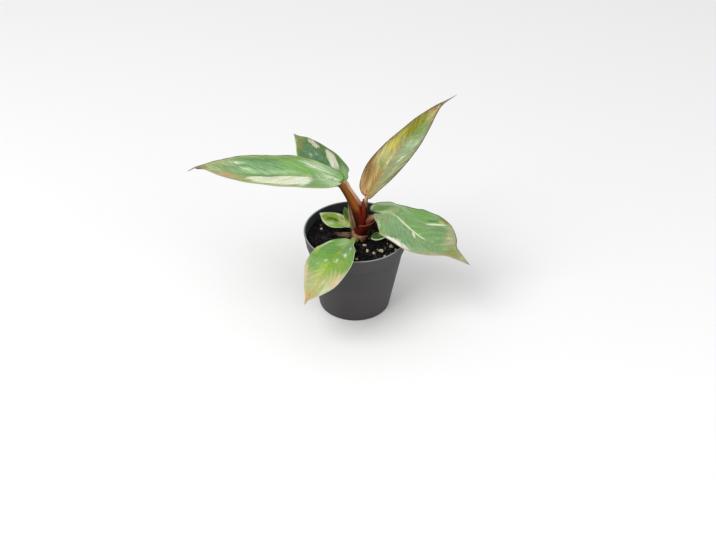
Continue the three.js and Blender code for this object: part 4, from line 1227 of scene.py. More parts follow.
class Tree:
    """Adds nodes to a material or a node group, linked as they come."""

    def __init__(self, tree):
        self.tree = tree

    def feed(self, socket, value):
        if isinstance(value, bpy.types.NodeSocket):
            self.tree.links.new(value, socket)
        elif socket.type == "RGBA":
            socket.default_value = (*value[:3], 1)
        else:
            socket.default_value = value

    def node(self, kind, inputs=(), **settings):
        """A node with its settings. Its inputs are fed by name or by number."""
        node = self.tree.nodes.new("ShaderNode" + kind)
        for name, value in settings.items():
            setattr(node, name, value)
        for key, value in dict(inputs).items():
            self.feed(node.inputs[key], value)
        return node

    def group(self, name, inputs=()):
        return self.node("Group", inputs, node_tree=bpy.data.node_groups[name]).outputs

    def math(self, operation, *values):
        return self.node("Math", enumerate(values), operation=operation).outputs[0]

    def vector_math(self, operation, *values):
        return self.node("VectorMath", enumerate(values), operation=operation).outputs[0]

    def plus(self, first, second):
        return self.math("ADD", first, second)

    def minus(self, first, second):
        return self.math("SUBTRACT", first, second)

    def times(self, first, second):
        return self.math("MULTIPLY", first, second)

    def mix(self, factor, first, second):
        return self.node("Mix", {0: factor, 6: first, 7: second}, data_type="RGBA").outputs[2]

    def shaded(self, color, light):
        """The colour, lighter or darker."""
        return self.vector_math("MULTIPLY", color, self.combine(light, light, light))

    def mask(self, value, low, high, least=0.0, most=1.0):
        """Goes smoothly from least to most as the value goes from low to high."""
        inputs = {"Value": value, "From Min": low, "From Max": high, "To Min": least, "To Max": most}
        return self.node("MapRange", inputs, interpolation_type="SMOOTHSTEP").outputs[0]

    def varied(self, noise, least, most):
        """Goes from least to most over the middle range of a noise."""
        return self.mask(noise, 0.3, 0.7, least, most)

    def noise(self, vector, scale, detail=3.0, roughness=0.6):
        inputs = {"Vector": vector, "Scale": scale, "Detail": detail, "Roughness": roughness}
        return self.node("TexNoise", inputs).outputs[0]

    def combine(self, x, y, z=0.0):
        return self.node("CombineXYZ", {"X": x, "Y": y, "Z": z}).outputs[0]

    def split(self, vector):
        return self.node("SeparateXYZ", {"Vector": vector}).outputs[:3]

    def flat(self, name):
        """The flat coordinates of that name, as a vector."""
        return self.node("UVMap", uv_map=name).outputs[0]

    def place(self):
        return self.node("TexCoord").outputs["Object"]

    def grain(self, grain_size, cloud_size):
        """Fine grain and clouds of those sizes in mm."""
        inputs = {"Place": self.place(), "Grain Size": grain_size, "Cloud Size": cloud_size}
        return self.group("Grain", inputs)

    def stalk(self, seed, foot, middle, top, middle_at, top_at, shaded_side=0.5, painted_shade=0.4):
        """The surface of a stalk. Heights are in mm, and its painted shaded side is a share of a turn."""
        return self.group("Stalk Surface", {
            "Stalk": self.flat("stalk"), "Foot Color": foot, "Middle Color": middle, "Top Color": top,
            "Middle At": middle_at, "Top At": top_at, "Seed": seed, "Shaded Side": shaded_side,
            "Painted Shade": painted_shade,
        })


SURFACE = {"Color": "Color", "Roughness": "Float", "Height": "Float"}


def node_group(name, inputs, outputs):
    """A new node group, with the kind of each output and of each input. A number is an input's default."""
    tree = bpy.data.node_groups.new(name, "ShaderNodeTree")
    for label, kind in inputs.items():
        is_number = isinstance(kind, float)
        socket_type = "NodeSocketFloat" if is_number else "NodeSocket" + kind
        socket = tree.interface.new_socket(name=label, in_out="INPUT", socket_type=socket_type)
        if is_number:
            socket.default_value = kind
    for label, kind in outputs.items():
        tree.interface.new_socket(name=label, in_out="OUTPUT", socket_type="NodeSocket" + kind)
    given = tree.nodes.new("NodeGroupInput").outputs
    results = tree.nodes.new("NodeGroupOutput").inputs
    return Tree(tree), given, results


def make_marking_group():
    """An oval with squarish ends, as a mask."""
    inputs = {
        "Place": "Vector", "Middle": "Vector", "Half Size": "Vector", "Angle": 0.0, "Softness": 0.3,
        "Strength": 1.0,
    }
    t, given, results = node_group("Marking", inputs, {"Mask": "Float"})
    away = t.vector_math("SUBTRACT", given["Place"], given["Middle"])
    turn = {"Vector": away, "Angle": given["Angle"]}
    turned = t.node("VectorRotate", turn, rotation_type="Z_AXIS", invert=True).outputs[0]
    shares = t.vector_math("ABSOLUTE", t.vector_math("DIVIDE", turned, given["Half Size"]))
    x, y, _ = t.split(shares)
    squarish = 2.4
    total = t.plus(t.math("POWER", x, squarish), t.math("POWER", y, squarish))
    reach = t.math("POWER", total, 1 / squarish)
    low, high = t.minus(1.0, given["Softness"]), t.plus(1.0, given["Softness"])
    t.feed(results["Mask"], t.times(t.mask(reach, high, low), given["Strength"]))


def make_streak_group():
    """Fine streaks that run with a blade's side veins, and a drift that frays markings along them."""
    inputs = {"Vein": "Vector", "Seed": 0.0, "Lean": 1.0, "Fray": 0.0}
    outputs = {"Streak": "Float", "Fine": "Float", "Flecks": "Float", "Drift": "Vector"}
    t, given, results = node_group("Side Vein Streaks", inputs, outputs)
    q, column, _ = t.split(given["Vein"])

    def streaks(across, along, shift, detail=3.0):
        """Noise drawn out along the side veins."""
        third = t.plus(given["Seed"], shift)
        return t.noise(t.combine(t.times(q, across), t.times(column, along), third), 1.0, detail)

    t.feed(results["Streak"], streaks(0.42, 1.6, 0.0))
    t.feed(results["Fine"], streaks(1.7, 3.0, 3.7))
    t.feed(results["Flecks"], t.mask(streaks(1.3, 7.0, 7.3, 2.0), 0.56, 0.7))
    reach = t.times(t.minus(streaks(0.9, 0.8, 11.0), 0.5), given["Fray"])
    side = t.math("SIGN", column)
    wobble = t.times(t.minus(streaks(0.5, 5.0, 17.0), 0.5), 1.6)
    along = t.plus(t.times(reach, given["Lean"]), wobble)
    t.feed(results["Drift"], t.combine(along, t.times(reach, side)))


def make_blade_group():
    """What every blade has over its markings: streaks, side veins, midrib, border and drip tip."""
    inputs = {
        "Color": "Color", "Leaf": "Vector", "Vein": "Vector", "Edge": "Vector", "Seed": 0.0, "Lean": 1.0,
        "Vein Spacing": 5.0, "Vein Depth": 0.3,
        "Rib Color": "Color", "Rib Width": 0.9, "Rib Strength": 0.5, "Rib Start": 0.0, "Rib End": 60.0,
        "Fade Color": "Color", "Fade Width": 3.0, "Fade Start": 0.0, "Fade End": 20.0, "Fade Strength": 0.5,
        "Left Margin": "Color", "Right Margin": "Color", "Margin Width": 0.5, "Tip": 60.0,
        "Fleck Strength": 0.2, "Contrast": 1.0, "Brightness": 1.0,
    }
    t, given, results = node_group("Blade Surface", inputs, SURFACE)
    streaks = t.group("Side Vein Streaks", {name: given[name] for name in ("Vein", "Seed", "Lean")})
    streak, fine = streaks["Streak"], streaks["Fine"]
    along, offset, _ = t.split(given["Leaf"])
    q, column, _ = t.split(given["Vein"])
    edge, row, _ = t.split(given["Edge"])

    fade_edge = t.plus(edge, t.varied(streak, -1.2, 1.2))
    fade = t.times(t.mask(fade_edge, given["Fade Width"], 0.0), given["Fade Strength"])
    fade = t.times(fade, t.mask(along, given["Fade Start"], given["Fade End"]))
    color = t.mix(fade, given["Color"], given["Fade Color"])

    mottle = t.varied(t.noise(given["Leaf"], 0.7), 0.93, 1.07)
    lines = t.plus(t.varied(streak, -0.16, 0.12), t.varied(fine, -0.13, 0.13))
    # Painted light and shade: the brightness lightens or darkens the whole blade.
    light = t.times(t.plus(mottle, t.times(lines, given["Contrast"])), given["Brightness"])
    color = t.shaded(color, light)
    color = t.mix(t.times(streaks["Flecks"], given["Fleck Strength"]), color, FLECK)

    spacing = given["Vein Spacing"]
    line = t.math("ABSOLUTE", t.minus(t.math("FRACT", t.math("DIVIDE", q, spacing)), 0.5))
    vein = t.mask(t.times(line, spacing), 0.6, 0.05)
    vein = t.times(vein, t.mask(t.math("ABSOLUTE", column), 0.98, 0.5))
    veined = t.times(t.times(vein, given["Vein Depth"]), t.mask(streak, 0.25, 0.6, 0.3, 1.0))
    color = t.mix(veined, color, t.vector_math("MULTIPLY", color, VEIN_LIGHT))

    width = t.times(given["Rib Width"], t.mask(row, 0.0, 1.0, 1.0, 0.35))
    rib = t.mask(t.math("DIVIDE", t.math("ABSOLUTE", offset), width), 1.0, 0.55)
    start, end = given["Rib Start"], given["Rib End"]
    rib = t.times(rib, t.mask(along, t.times(start, 0.2), t.plus(start, 0.5)))
    rib = t.times(rib, t.mask(along, end, t.minus(end, 4.0)))
    rib = t.times(rib, t.times(given["Rib Strength"], t.mask(fine, 0.3, 0.6, 0.75, 1.0)))
    color = t.mix(rib, color, given["Rib Color"])

    ragged = t.plus(edge, t.times(t.minus(fine, 0.5), 0.4))
    margin = t.mask(ragged, given["Margin Width"], t.times(given["Margin Width"], 0.4))
    margin = t.times(margin, t.mask(row, 0.97, 0.85))
    margin_color = t.mix(t.mask(column, -0.1, 0.1), given["Right Margin"], given["Left Margin"])
    color = t.mix(margin, color, margin_color)
    tip = t.mask(along, given["Tip"], t.plus(given["Tip"], 6.0), 0.0, 0.85)
    t.feed(results["Color"], t.mix(tip, color, DRIP_TIP))

    cells = t.noise(t.combine(q, offset), 3.0)
    t.feed(results["Roughness"], t.plus(t.varied(streak, 0.42, 0.52), t.times(cells, 0.06)))
    relief = t.minus(t.times(cells, 0.3), t.times(vein, 0.5))
    t.feed(results["Height"], t.plus(relief, t.times(fine, 0.3)))


def make_stalk_group():
    """A stalk's colour from foot to top: fine lengthwise streaks, pale dots, painted shade on one side."""
    inputs = {
        "Stalk": "Vector", "Foot Color": "Color", "Middle Color": "Color", "Top Color": "Color",
        "Middle At": 10.0, "Top At": 30.0, "Seed": 0.0, "Shaded Side": 0.5, "Painted Shade": 0.4,
    }
    t, given, results = node_group("Stalk Surface", inputs, SURFACE)
    turn, distance, _ = t.split(given["Stalk"])
    angle = t.times(turn, math.tau)
    around, beside = t.math("COSINE", angle), t.math("SINE", angle)
    x, y = t.times(around, 3.0), t.times(beside, 3.0)
    streak = t.noise(t.combine(x, y, t.plus(t.times(distance, 0.12), given["Seed"])), 1.6)
    cloud = t.noise(t.combine(around, beside, t.times(distance, 0.22)), 1.1, 2.0, 0.5)
    shifted = t.plus(distance, t.mask(cloud, 0.2, 0.8, -2.5, 2.5))
    rise = t.times(given["Middle At"], 0.6)
    color = t.mix(t.mask(shifted, rise, given["Middle At"]), given["Foot Color"], given["Middle Color"])
    color = t.mix(t.mask(shifted, given["Middle At"], given["Top At"]), color, given["Top Color"])
    # Painted shade: darker round the shaded side, darkest where the stalk faces straight that way.
    facing = t.math("COSINE", t.times(t.minus(turn, given["Shaded Side"]), math.tau))
    shadow = t.minus(1.0, t.times(t.mask(facing, -1.0, 1.0), given["Painted Shade"]))
    color = t.shaded(color, t.times(t.varied(streak, 0.75, 1.2), shadow))
    spots = t.noise(t.combine(t.times(around, 2.0), t.times(beside, 2.0), distance), 2.4, 1.0, 0.4)
    t.feed(results["Color"], t.mix(t.mask(spots, 0.68, 0.76, 0.0, 0.2), color, STALK_DOT))
    t.feed(results["Roughness"], t.varied(streak, 0.34, 0.5))
    t.feed(results["Height"], t.plus(streak, t.times(spots, 0.3)))


def make_grain_group():
    """Fine even grain with larger clouds, for moulded plastic, mix and stone."""
    inputs = {"Place": "Vector", "Grain Size": 1.0, "Cloud Size": 10.0}
    t, given, results = node_group("Grain", inputs, {"Grain": "Float", "Cloud": "Float"})
    for name, detail in (("Grain", 3.0), ("Cloud", 4.0)):
        scale = t.math("DIVIDE", 1 / MM, given[name + " Size"])
        t.feed(results[name], t.noise(given["Place"], scale, detail))


# Materials


class Material(Tree):
    """A material with one shader."""

    def __init__(self, name):
        self.material = bpy.data.materials.new(name)
        self.material.use_nodes = True
        super().__init__(self.material.node_tree)
        self.tree.nodes.clear()
        output = self.node("OutputMaterial")
        self.shader = self.node("BsdfPrincipled")
        self.feed(output.inputs["Surface"], self.shader.outputs[0])

    def finish(self, color, roughness, height=None, depth=0.15, strength=0.5, **constants):
        """Feeds the shader and gives the material. The relief's depth is in mm."""
        self.feed(self.shader.inputs["Base Color"], color)
        self.feed(self.shader.inputs["Roughness"], roughness)
        if height is not None:
            inputs = {"Height": height, "Distance": depth * MM, "Strength": strength}
            self.feed(self.shader.inputs["Normal"], self.node("Bump", inputs).outputs[0])
        for name, value in constants.items():
            self.shader.inputs[CONSTANTS[name]].default_value = value
        return self.material


# The shader's sockets that a material may set to a constant.
CONSTANTS = {
    "specular": "Specular IOR Level", "coat": "Coat Weight", "coat_roughness": "Coat Roughness",
    "subsurface": "Subsurface Weight", "subsurface_radius": "Subsurface Radius",
    "subsurface_scale": "Subsurface Scale",
}


def marked_color(t, name, palette, coordinates, streaks):
    """The ground colour of a blade with its markings, frayed along the side veins."""
    place = t.vector_math("ADD", coordinates, streaks["Drift"])
    color = palette[GROUND[name]]
    for shade, along, offset, half_length, half_width, angle, softness, strength in MARKINGS[name]:
        inputs = {
            "Place": place, "Middle": (along, offset, 0), "Half Size": (half_length, half_width, 1),
            "Angle": math.radians(angle), "Softness": softness, "Strength": strength,
        }
        color = t.mix(t.group("Marking", inputs)["Mask"], color, palette[shade])
    return color


def make_leaf_pattern(name, number, plant):
    """A node group with the colours of one blade, used for its upper and its under side."""
    leaf, settings = LEAVES[name], plant.leaf
    palette = {shade: getattr(plant.shades, shade) for shade in ShadeSettings.__annotations__}
    t, _, results = node_group(f"{name} pattern", {}, SURFACE)
    maps = {label: t.flat(label.lower()) for label in ("Leaf", "Vein", "Edge")}
    grown = {"Seed": 5.3 * number, "Lean": leaf["lean"]}
    streaks = t.group("Side Vein Streaks", {"Vein": maps["Vein"], **grown, "Fray": leaf["fray"]})
    rib_shade, rib_strength, rib_start, rib_end = MIDRIBS[name]
    (fade_shade, fade_width, fade_start, fade_end, fade_strength), margins, tip = BORDERS[name]
    left_margin, right_margin, margin_width = margins
    surface = t.group("Blade Surface", {
        "Color": marked_color(t, name, palette, maps["Leaf"], streaks), **maps, **grown,
        "Vein Spacing": leaf["vein_spacing"], "Vein Depth": settings.vein_strength,
        "Rib Color": palette[rib_shade], "Rib Width": RIB_WIDTH * leaf["midrib"][0],
        "Rib Strength": rib_strength, "Rib Start": rib_start, "Rib End": rib_end,
        "Fade Color": palette[fade_shade], "Fade Width": fade_width, "Fade Start": fade_start,
        "Fade End": fade_end, "Fade Strength": fade_strength,
        "Left Margin": palette[left_margin], "Right Margin": palette[right_margin],
        "Margin Width": margin_width * settings.margin_width, "Tip": tip,
        "Fleck Strength": leaf["flecks"], "Contrast": leaf["contrast"], "Brightness": leaf["brightness"],
    })
    for result in SURFACE:
        t.feed(results[result], surface[result])


def leaf_materials(name, number, plant):
    """Materials of a leaf: upper side, under side and stalk."""
    make_leaf_pattern(name, number, plant)
    upper = Material(f"{name} upper side")
    pattern = upper.group(f"{name} pattern")
    upper.finish(
        pattern["Color"], pattern["Roughness"], pattern["Height"], 0.12, 0.6, specular=0.28,
        coat=0.04, coat_roughness=0.3, subsurface=0.12, subsurface_radius=(0.6 * MM, 0.9 * MM, 0.3 * MM),
        subsurface_scale=1.0,
    )
    under = Material(f"{name} under side")
    pattern = under.group(f"{name} pattern")
    paler = under.mix(UNDER_FLUSH, pattern["Color"], plant.shades.underside)
    under.finish(paler, 0.55, under.times(pattern["Height"], -1.0), 0.18, 0.7)
    stalk = stalk_material(f"{name} stalk", 3.1 * number, *STALKS[name])
    return [upper.material, under.material, stalk]


def stalk_material(name, seed, *look):
    """A stalk's material. Its look is three colours, the heights of two, and its painted shaded side."""
    t = Material(name)
    surface = t.stalk(seed, *look)
    return t.finish(*surface, specular=0.15, coat=0.02, coat_roughness=0.25)


def sleeve_material(colors):
    """The sleeve round the stem: maroon, with a pale pink line along its sloping rim."""
    t = Material("sleeve")
    body, top = colors.sleeve, colors.sleeve_top
    # Painted shadow: the sleeve is darkened on its right side, where the heart-shaped leaf shades it.
    color, roughness, height = t.stalk(4.0, body, body, top, 4.0, 12.0, shaded_side=0.95, painted_shade=0.7)
    x, _, z = t.split(t.place())
    rim = t.plus(SLEEVE_RIM["height"] * MM, t.times(x, SLEEVE_RIM["slope"]))
    line = t.mask(t.minus(rim, z), 0.75 * MM, 0.4 * MM, 0.0, 0.9)
    color = t.mix(line, color, colors.ring)
    return t.finish(color, roughness, height, specular=0.25, coat=0.08, coat_roughness=0.25)


def cup_material(colors):
    """The cup at the stem's foot: pinkish towards its rim, with painted shade below and on its right side.
    """
    t = Material("cup")
    foot, top = colors.cup_foot_shade, colors.cup
    # Painted shade: near black at the foot, and darker on the right side.
    surface = t.stalk(6.0, foot, foot, top, 4.4, 5.4, shaded_side=0.05, painted_shade=0.6)
    return t.finish(*surface, specular=0.35)


def papery_material(name, body, edge, path_length, seed):
    """A dry, thin sheath leaf: lengthwise veins, darker towards both ends."""
    t = Material(name)
    # A little painted shade darkens the sheath on its left side.
    color, _, height = t.stalk(seed, edge, body, edge, 0.35 * path_length, path_length, painted_shade=0.15)
    turn, _, _ = t.split(t.flat("stalk"))
    ribs = t.math("SINE", t.times(turn, 22 * math.tau))
    color = t.shaded(color, t.mask(ribs, -1.0, 1.0, 0.86, 1.08))
    return t.finish(color, 0.7, t.plus(height, t.times(ribs, 0.3)), 0.12, 0.7)


def pot_material(settings):
    """Charcoal plastic: a collar of its own shade, a painted highlight on the lip, painted shade inside."""
    t = Material("charcoal plastic")
    place = t.place()
    x, y, z = t.split(place)
    grain = t.group("Grain", {"Place": place, "Grain Size": 0.5, "Cloud Size": 14.0})
    radius = t.math("POWER", t.plus(t.times(x, x), t.times(y, y)), 0.5)
    height, foot = settings.height, POT_FOOT["radius"] * MM
    collar_foot = height - POT_COLLAR["height"] * MM
    band = t.mask(z, collar_foot - 0.3 * MM, collar_foot + 0.3 * MM)
    color = t.mix(band, settings.plastic, settings.collar)
    slope = (settings.rim_radius - foot) / height
    wall_middle = t.plus(foot - 0.5 * settings.wall, t.times(z, slope))
    # Painted shade on the inner wall.
    inner = t.mask(t.minus(wall_middle, radius), -0.2 * MM, 0.35 * MM)
    color = t.mix(inner, color, settings.inside)
    # Painted highlight along the lip.
    lip = t.mask(z, height - 0.55 * MM, height - 0.1 * MM, 0, 0.6)
    color = t.mix(lip, color, settings.lip)
    color = t.shaded(color, t.varied(grain["Cloud"], 0.92, 1.08))
    roughness = t.varied(grain["Cloud"], 0.55, 0.66)
    return t.finish(color, roughness, grain["Grain"], 0.04, 0.35, specular=0.3)


def mix_material(settings):
    """The mix itself: near black, with browner clouds and a few bluish glints."""
    t = Material("potting mix")
    grain, cloud = t.grain(0.7, 4.0)
    color = t.mix(t.mask(cloud, 0.45, 0.75), settings.dark, settings.brown)
    color = t.mix(t.mask(grain, 0.62, 0.75, 0, 0.5), color, settings.blue)
    return t.finish(color, t.varied(grain, 1.0, 0.75), grain, 0.5, 0.8, specular=0.2)


def chip_material(settings):
    """Loose bark: each chip has its own shade, most of them dark."""
    t = Material("loose bark")
    grain, cloud = t.grain(0.35, 1.4)
    shade, kind, _ = t.split(t.flat("grain"))
    color = t.mix(t.mask(shade, 0.35, 1.0), settings.dark, settings.brown)
    color = t.mix(t.mask(kind, 0.8, 0.83, 0, 0.8), color, settings.blue)
    color = t.mix(t.mask(kind, 0.97, 0.975, 0, 0.75), color, settings.grey)
    color = t.shaded(color, t.mask(cloud, 0.25, 0.75, 0.6, 1.35))
    return t.finish(color, t.varied(cloud, 0.85, 0.55), grain, 0.2, 0.7, specular=0.3)


def granule_material(settings):
    """Pale mineral: some pinker than others, with stained pores."""
    t = Material("pale mineral")
    grain, cloud = t.grain(0.4, 1.6)
    shade, _, _ = t.split(t.flat("grain"))
    color = t.mix(t.mask(shade, 0.3, 0.9), settings.granule, settings.granule_pink)
    color = t.mix(t.mask(cloud, 0.55, 0.75, 0, 0.8), color, settings.granule_pit)
    color = t.mix(t.mask(grain, 0.5, 0.72, 0, 0.45), color, settings.granule_pit)
    return t.finish(color, 0.85, t.plus(grain, cloud), 0.25, 0.7)


def floor_material(settings):
    t = Material("pale floor")
    _, cloud = t.grain(3.0, 300.0)
    color = t.shaded(settings.floor, t.mask(cloud, 0.2, 0.8, 0.99, 1.0))
    return t.finish(color, 0.9)


# Operators


class PLANT_OT_add_pot(bpy.types.Operator):
    """Builds the thin-walled pot with its collar, lip and drain holes"""

    bl_idname = "plant.add_pot"
    bl_label = "Pot"

    def execute(self, context):
        settings = context.scene.plant.pot
        materials = [pot_material(settings)]
        mesh = Shape().add(*lathe(pot_profile(settings), settings.segments)).mesh("pot", materials)
        for i in range(POT_DRAIN["count"]):
            x, y = on_circle(POT_DRAIN["ring_radius"], math.tau * (i + 0.5) / POT_DRAIN["count"])
            path = [(x, y, z, POT_DRAIN["radius"]) for z in (-1, 2, 5)]
            mesh = combine(mesh, tube_mesh("drain hole", path, materials, ends=(FLAT, FLAT)), "DIFFERENCE")
        add_piece("pot_shell", mesh, "pot_plastic", "pot")
        return {"FINISHED"}


class PLANT_OT_add_mix(bpy.types.Operator):
    """Fills the pot with potting mix, lumpy on top"""

    bl_idname = "plant.add_mix"
    bl_label = "Potting mix"

    def execute(self, context):
        settings = context.scene.plant.mix
        mesh = mix_shape(settings.roughness / MM).mesh("mix", [mix_material(settings)], 80)
        add_piece("potting_mix_bed", mesh, "potting_mix", "potting_mix")
        return {"FINISHED"}


def scattered(rng, reach):
    """A random place on the mix, clear of the stem's foot and of the granules."""
    taken = [(STEM[1][0], STEM[1][1], STEM_ROOM)]
    taken += [(middle[0], middle[1], max(size[:2]) + GRANULE_ROOM) for middle, size, _ in GRANULES]
    while True:
        radius, angle = reach * math.sqrt(rng.uniform(0, 1)), rng.uniform(0, math.tau)
        x, y = on_circle(radius, angle)
        if all(math.hypot(x - middle_x, y - middle_y) > gap for middle_x, middle_y, gap in taken):
            return x, y


def turned(rng, points, tilt):
    """Points turned at random about the upright, then tilted by up to that many degrees."""
    spin = Matrix.Rotation(rng.uniform(0, math.tau), 3, "Z")
    lean = Matrix.Rotation(math.radians(rng.uniform(-tilt, tilt)), 3, "X")
    roll = Matrix.Rotation(math.radians(rng.uniform(-tilt, tilt)), 3, "Y")
    return points @ np.array(spin @ lean @ roll).T


class PLANT_OT_add_crumbs(bpy.types.Operator):
    """Strews bark chips, crumbs and small mineral grains over the mix"""

    bl_idname = "plant.add_crumbs"
    bl_label = "Bark and crumbs"

    def execute(self, context):
        settings = context.scene.plant.mix
        rng = np.random.default_rng(seed=41)
        reach = wall_radius(MIX_LEVEL) - 1.0
        shape = Shape()
        for index in range(settings.chips + settings.crumbs):
            chip = index < settings.chips
            size = rng.uniform(*CHIP_SIZES) if chip else rng.uniform(*CRUMB_SIZES, 3)
            x, y = scattered(rng, reach - (size.max() if chip else 0))
            points, faces = pebble(rng, size, levels=2 if chip else 1, roughness=0.2)
            points = turned(rng, points, tilt=35 if chip else 90)
            lift = mix_height(x, y) + rng.uniform(-0.1, 0.35)
            pale = rng.uniform(0, 1) < (0.0 if chip or x < 0 else PALE_CRUMBS)
            tone = np.tile(rng.uniform(0, 1, 2), (len(points), 1))
            shape.add(points + (x, y, lift), faces, 1 if pale else 0, grain=tone)
        mesh = shape.mesh("crumbs", [chip_material(settings), granule_material(settings)], 50)
        add_piece("bark_crumbs", mesh, "potting_mix")
        return {"FINISHED"}


class PLANT_OT_add_granules(bpy.types.Operator):
    """Lays the larger pale mineral granules half sunk in the mix"""

    bl_idname = "plant.add_granules"
    bl_label = "Mineral granules"

    def execute(self, context):
        rng = np.random.default_rng(seed=7)
        material = granule_material(context.scene.plant.mix)
        for index, (middle, size, pinkness) in enumerate(GRANULES, 1):
            points, faces = pebble(rng, (1, 1, 1), levels=4, roughness=0.14, pitting=0.35)
            points = points / np.abs(points).max(axis=0) * size
            tone = np.full((len(points), 2), pinkness)
            mesh = Shape().add(points + middle, faces, grain=tone).mesh("granule", [material])
            add_piece(f"mineral_granule_{index}", mesh, "mineral_granule", f"granule_{index}")
        return {"FINISHED"}


class PLANT_OT_add_stem(bpy.types.Operator):
    """Raises the short stem"""

    bl_idname = "plant.add_stem"
    bl_label = "Stem"

    def execute(self, context):
        red = context.scene.plant.stalk.stem
        # The stem takes the stalks' usual painted shade on its left side.
        material = stalk_material("stem", 2.0, red, red, red, 8, 20)

        def ringed(angle, distance):
            """Faint rings, and a little flattening between them."""
            return 1 + 0.015 * np.sin(3 * angle + 0.1 * distance) + 0.01 * math.sin(distance * 1.7)

        mesh = tube_mesh("stem", STEM, [material], sides=48, section=ringed)
        add_piece("red_stem", mesh, "stem", "stem")
        return {"FINISHED"}


def sleeve_mesh(materials):
    """The sleeve round the stem: hollow, and cut off along its sloping rim."""
    like_sleeve = {"materials": materials, "slot": SHEATH, "sides": 64, "ends": (FLAT, FLAT)}
    mesh = tube_mesh("sleeve", SLEEVE, **like_sleeve)
    hollow = tube_mesh("hollow", SLEEVE[1:], grow=-SLEEVE_RIM["wall"], **like_sleeve)
    mesh = combine(mesh, hollow, "DIFFERENCE")
    half, top = 20, 30
    corners = [(x, y, z) for z in (0, top) for y in (-half, half) for x in (-half, half)]
    points = [(x, y, z + SLEEVE_RIM["height"] + SLEEVE_RIM["slope"] * x) for x, y, z in corners]
    faces = [(0, 2, 3, 1), (4, 5, 7, 6), (0, 1, 5, 4), (2, 6, 7, 3), (0, 4, 6, 2), (1, 3, 7, 5)]
    over_rim = Shape().add(points, faces, SHEATH).mesh("over the rim", materials)
    return combine(mesh, over_rim, "DIFFERENCE")


def add_leaf(context, name):
    """Grows one leaf, with the sleeve or the cup where its petiole leaves one round the stem."""
    plant = context.scene.plant
    materials = leaf_materials(name, list(LEAVES).index(name), plant)
    if name == "leaf_heart_right":
        materials.append(sleeve_material(plant.stalk))
        mesh = combine(leaf_mesh(name, materials, plant.leaf), sleeve_mesh(materials), "UNION")
        space = tube_mesh("stem space", STEM, materials, SHEATH, sides=40, grow=STEM_GAP)
        mesh = combine(mesh, space, "DIFFERENCE")
    elif name == "leaf_front_left":
        materials.append(cup_material(plant.stalk))
        like_cup = {"materials": materials, "slot": SHEATH, "sides": 64, "ends": (FLAT, FLAT)}
        mesh = combine(leaf_mesh(name, materials, plant.leaf), tube_mesh("cup", CUP, **like_cup), "UNION")
        for path, gap in ((STEM, STEM_GAP), (SLEEVE, SLEEVE_GAP)):
            mesh = combine(mesh, tube_mesh("stem space", path, grow=gap, **like_cup), "DIFFERENCE")
    else:
        mesh = leaf_mesh(name, materials, plant.leaf)
    add_piece(name.replace("leaf_", "blade_"), mesh, "leaf", name)


class PLANT_OT_add_large_leaves(bpy.types.Operator):
    """Grows the five large leaves, each with its petiole and midrib"""

    bl_idname = "plant.add_large_leaves"
    bl_label = "Large leaves"

    def execute(self, context):
        for name in LARGE_LEAVES:
            add_leaf(context, name)
        return {"FINISHED"}


class PLANT_OT_add_small_leaves(bpy.types.Operator):
    """Grows the small leaves close to the mix"""

    bl_idname = "plant.add_small_leaves"
    bl_label = "Small leaves"

    def execute(self, context):
        for name in LEAVES:
            if name not in LARGE_LEAVES:
                add_leaf(context, name)
        return {"FINISHED"}


class PLANT_OT_add_spear(bpy.types.Operator):
    """Adds the rolled young leaf between the stalks"""

    bl_idname = "plant.add_spear"
    bl_label = "Rolled leaf"

    def execute(self, context):
        colors = context.scene.plant.stalk
        body, tip = colors.spear, colors.spear_tip
        # A little painted shade darkens the rolled leaf's right side.
        material = stalk_material("rolled leaf", 8.0, body, body, tip, 8, 19, 0.0, 0.3)

        def rolled(angle, distance):
            """The free margin winds once round as a small step."""
            around = (angle / math.tau + 0.32 + distance * 0.018) % 1.0
            return 0.9 + 0.1 * around**2

        mesh = tube_mesh("spear", SPEAR, [material], sides=64, section=rolled, ends=(DOME, POINT))
        add_piece("rolled_leaf", mesh, "young_leaf", "new_leaf_spear")
        return {"FINISHED"}


def channelled(opening, depth, width, crumple=0.0):
    """The section of a sheath leaf: open along one side, as a half tube."""

    def section(angle, distance):
        away = np.abs((angle - opening + math.pi) % math.tau - math.pi)
        ripple = crumple * (np.sin(4 * angle + 0.9 * distance) + np.sin(7 * angle - 1.3 * distance))
        return 1 - depth * (1 - smoothstep(0, width, away)) + ripple

    return section


class PLANT_OT_add_sheaths(bpy.types.Operator):
    """Adds the pale sheath leaf and the withered one"""

    bl_idname = "plant.add_sheaths"
    bl_label = "Sheath leaves"

    def execute(self, context):
        colors = context.scene.plant.stalk
        like_sheath = {"sides": 64, "ends": (DOME, POINT)}
        pale = papery_material("pale sheath", colors.sheath, colors.sheath_edge, 18, 3.0)
        section = channelled(math.radians(300), depth=0.6, width=1.0)
        mesh = tube_mesh("pale", PALE_SHEATH, [pale], section=section, **like_sheath)
        add_piece("pale_sheath", mesh, "sheath", "sheath_pale")
        dried = papery_material("dried sheath", colors.dried, colors.dried_dark, 13, 9.0)
        section = channelled(math.radians(90), depth=0.5, width=1.1, crumple=0.06)
        mesh = tube_mesh("dried", DRIED_SHEATH, [dried], section=section, **like_sheath)
        add_piece("dried_sheath", mesh, "dry_sheath", "sheath_dried")
        return {"FINISHED"}


def aimed(eye, target, roll=0.0):
    """Matrix of a camera or lamp at the eye that looks at the target."""
    back = (eye - target).normalized()
    right = Vector((0, 0, 1)).cross(back).normalized()
    up = back.cross(right)
    turned_right = right * math.cos(roll) + up * math.sin(roll)
    turned_up = up * math.cos(roll) - right * math.sin(roll)
    matrix = Matrix((turned_right, turned_up, back)).transposed().to_4x4()
    matrix.translation = eye
    return matrix


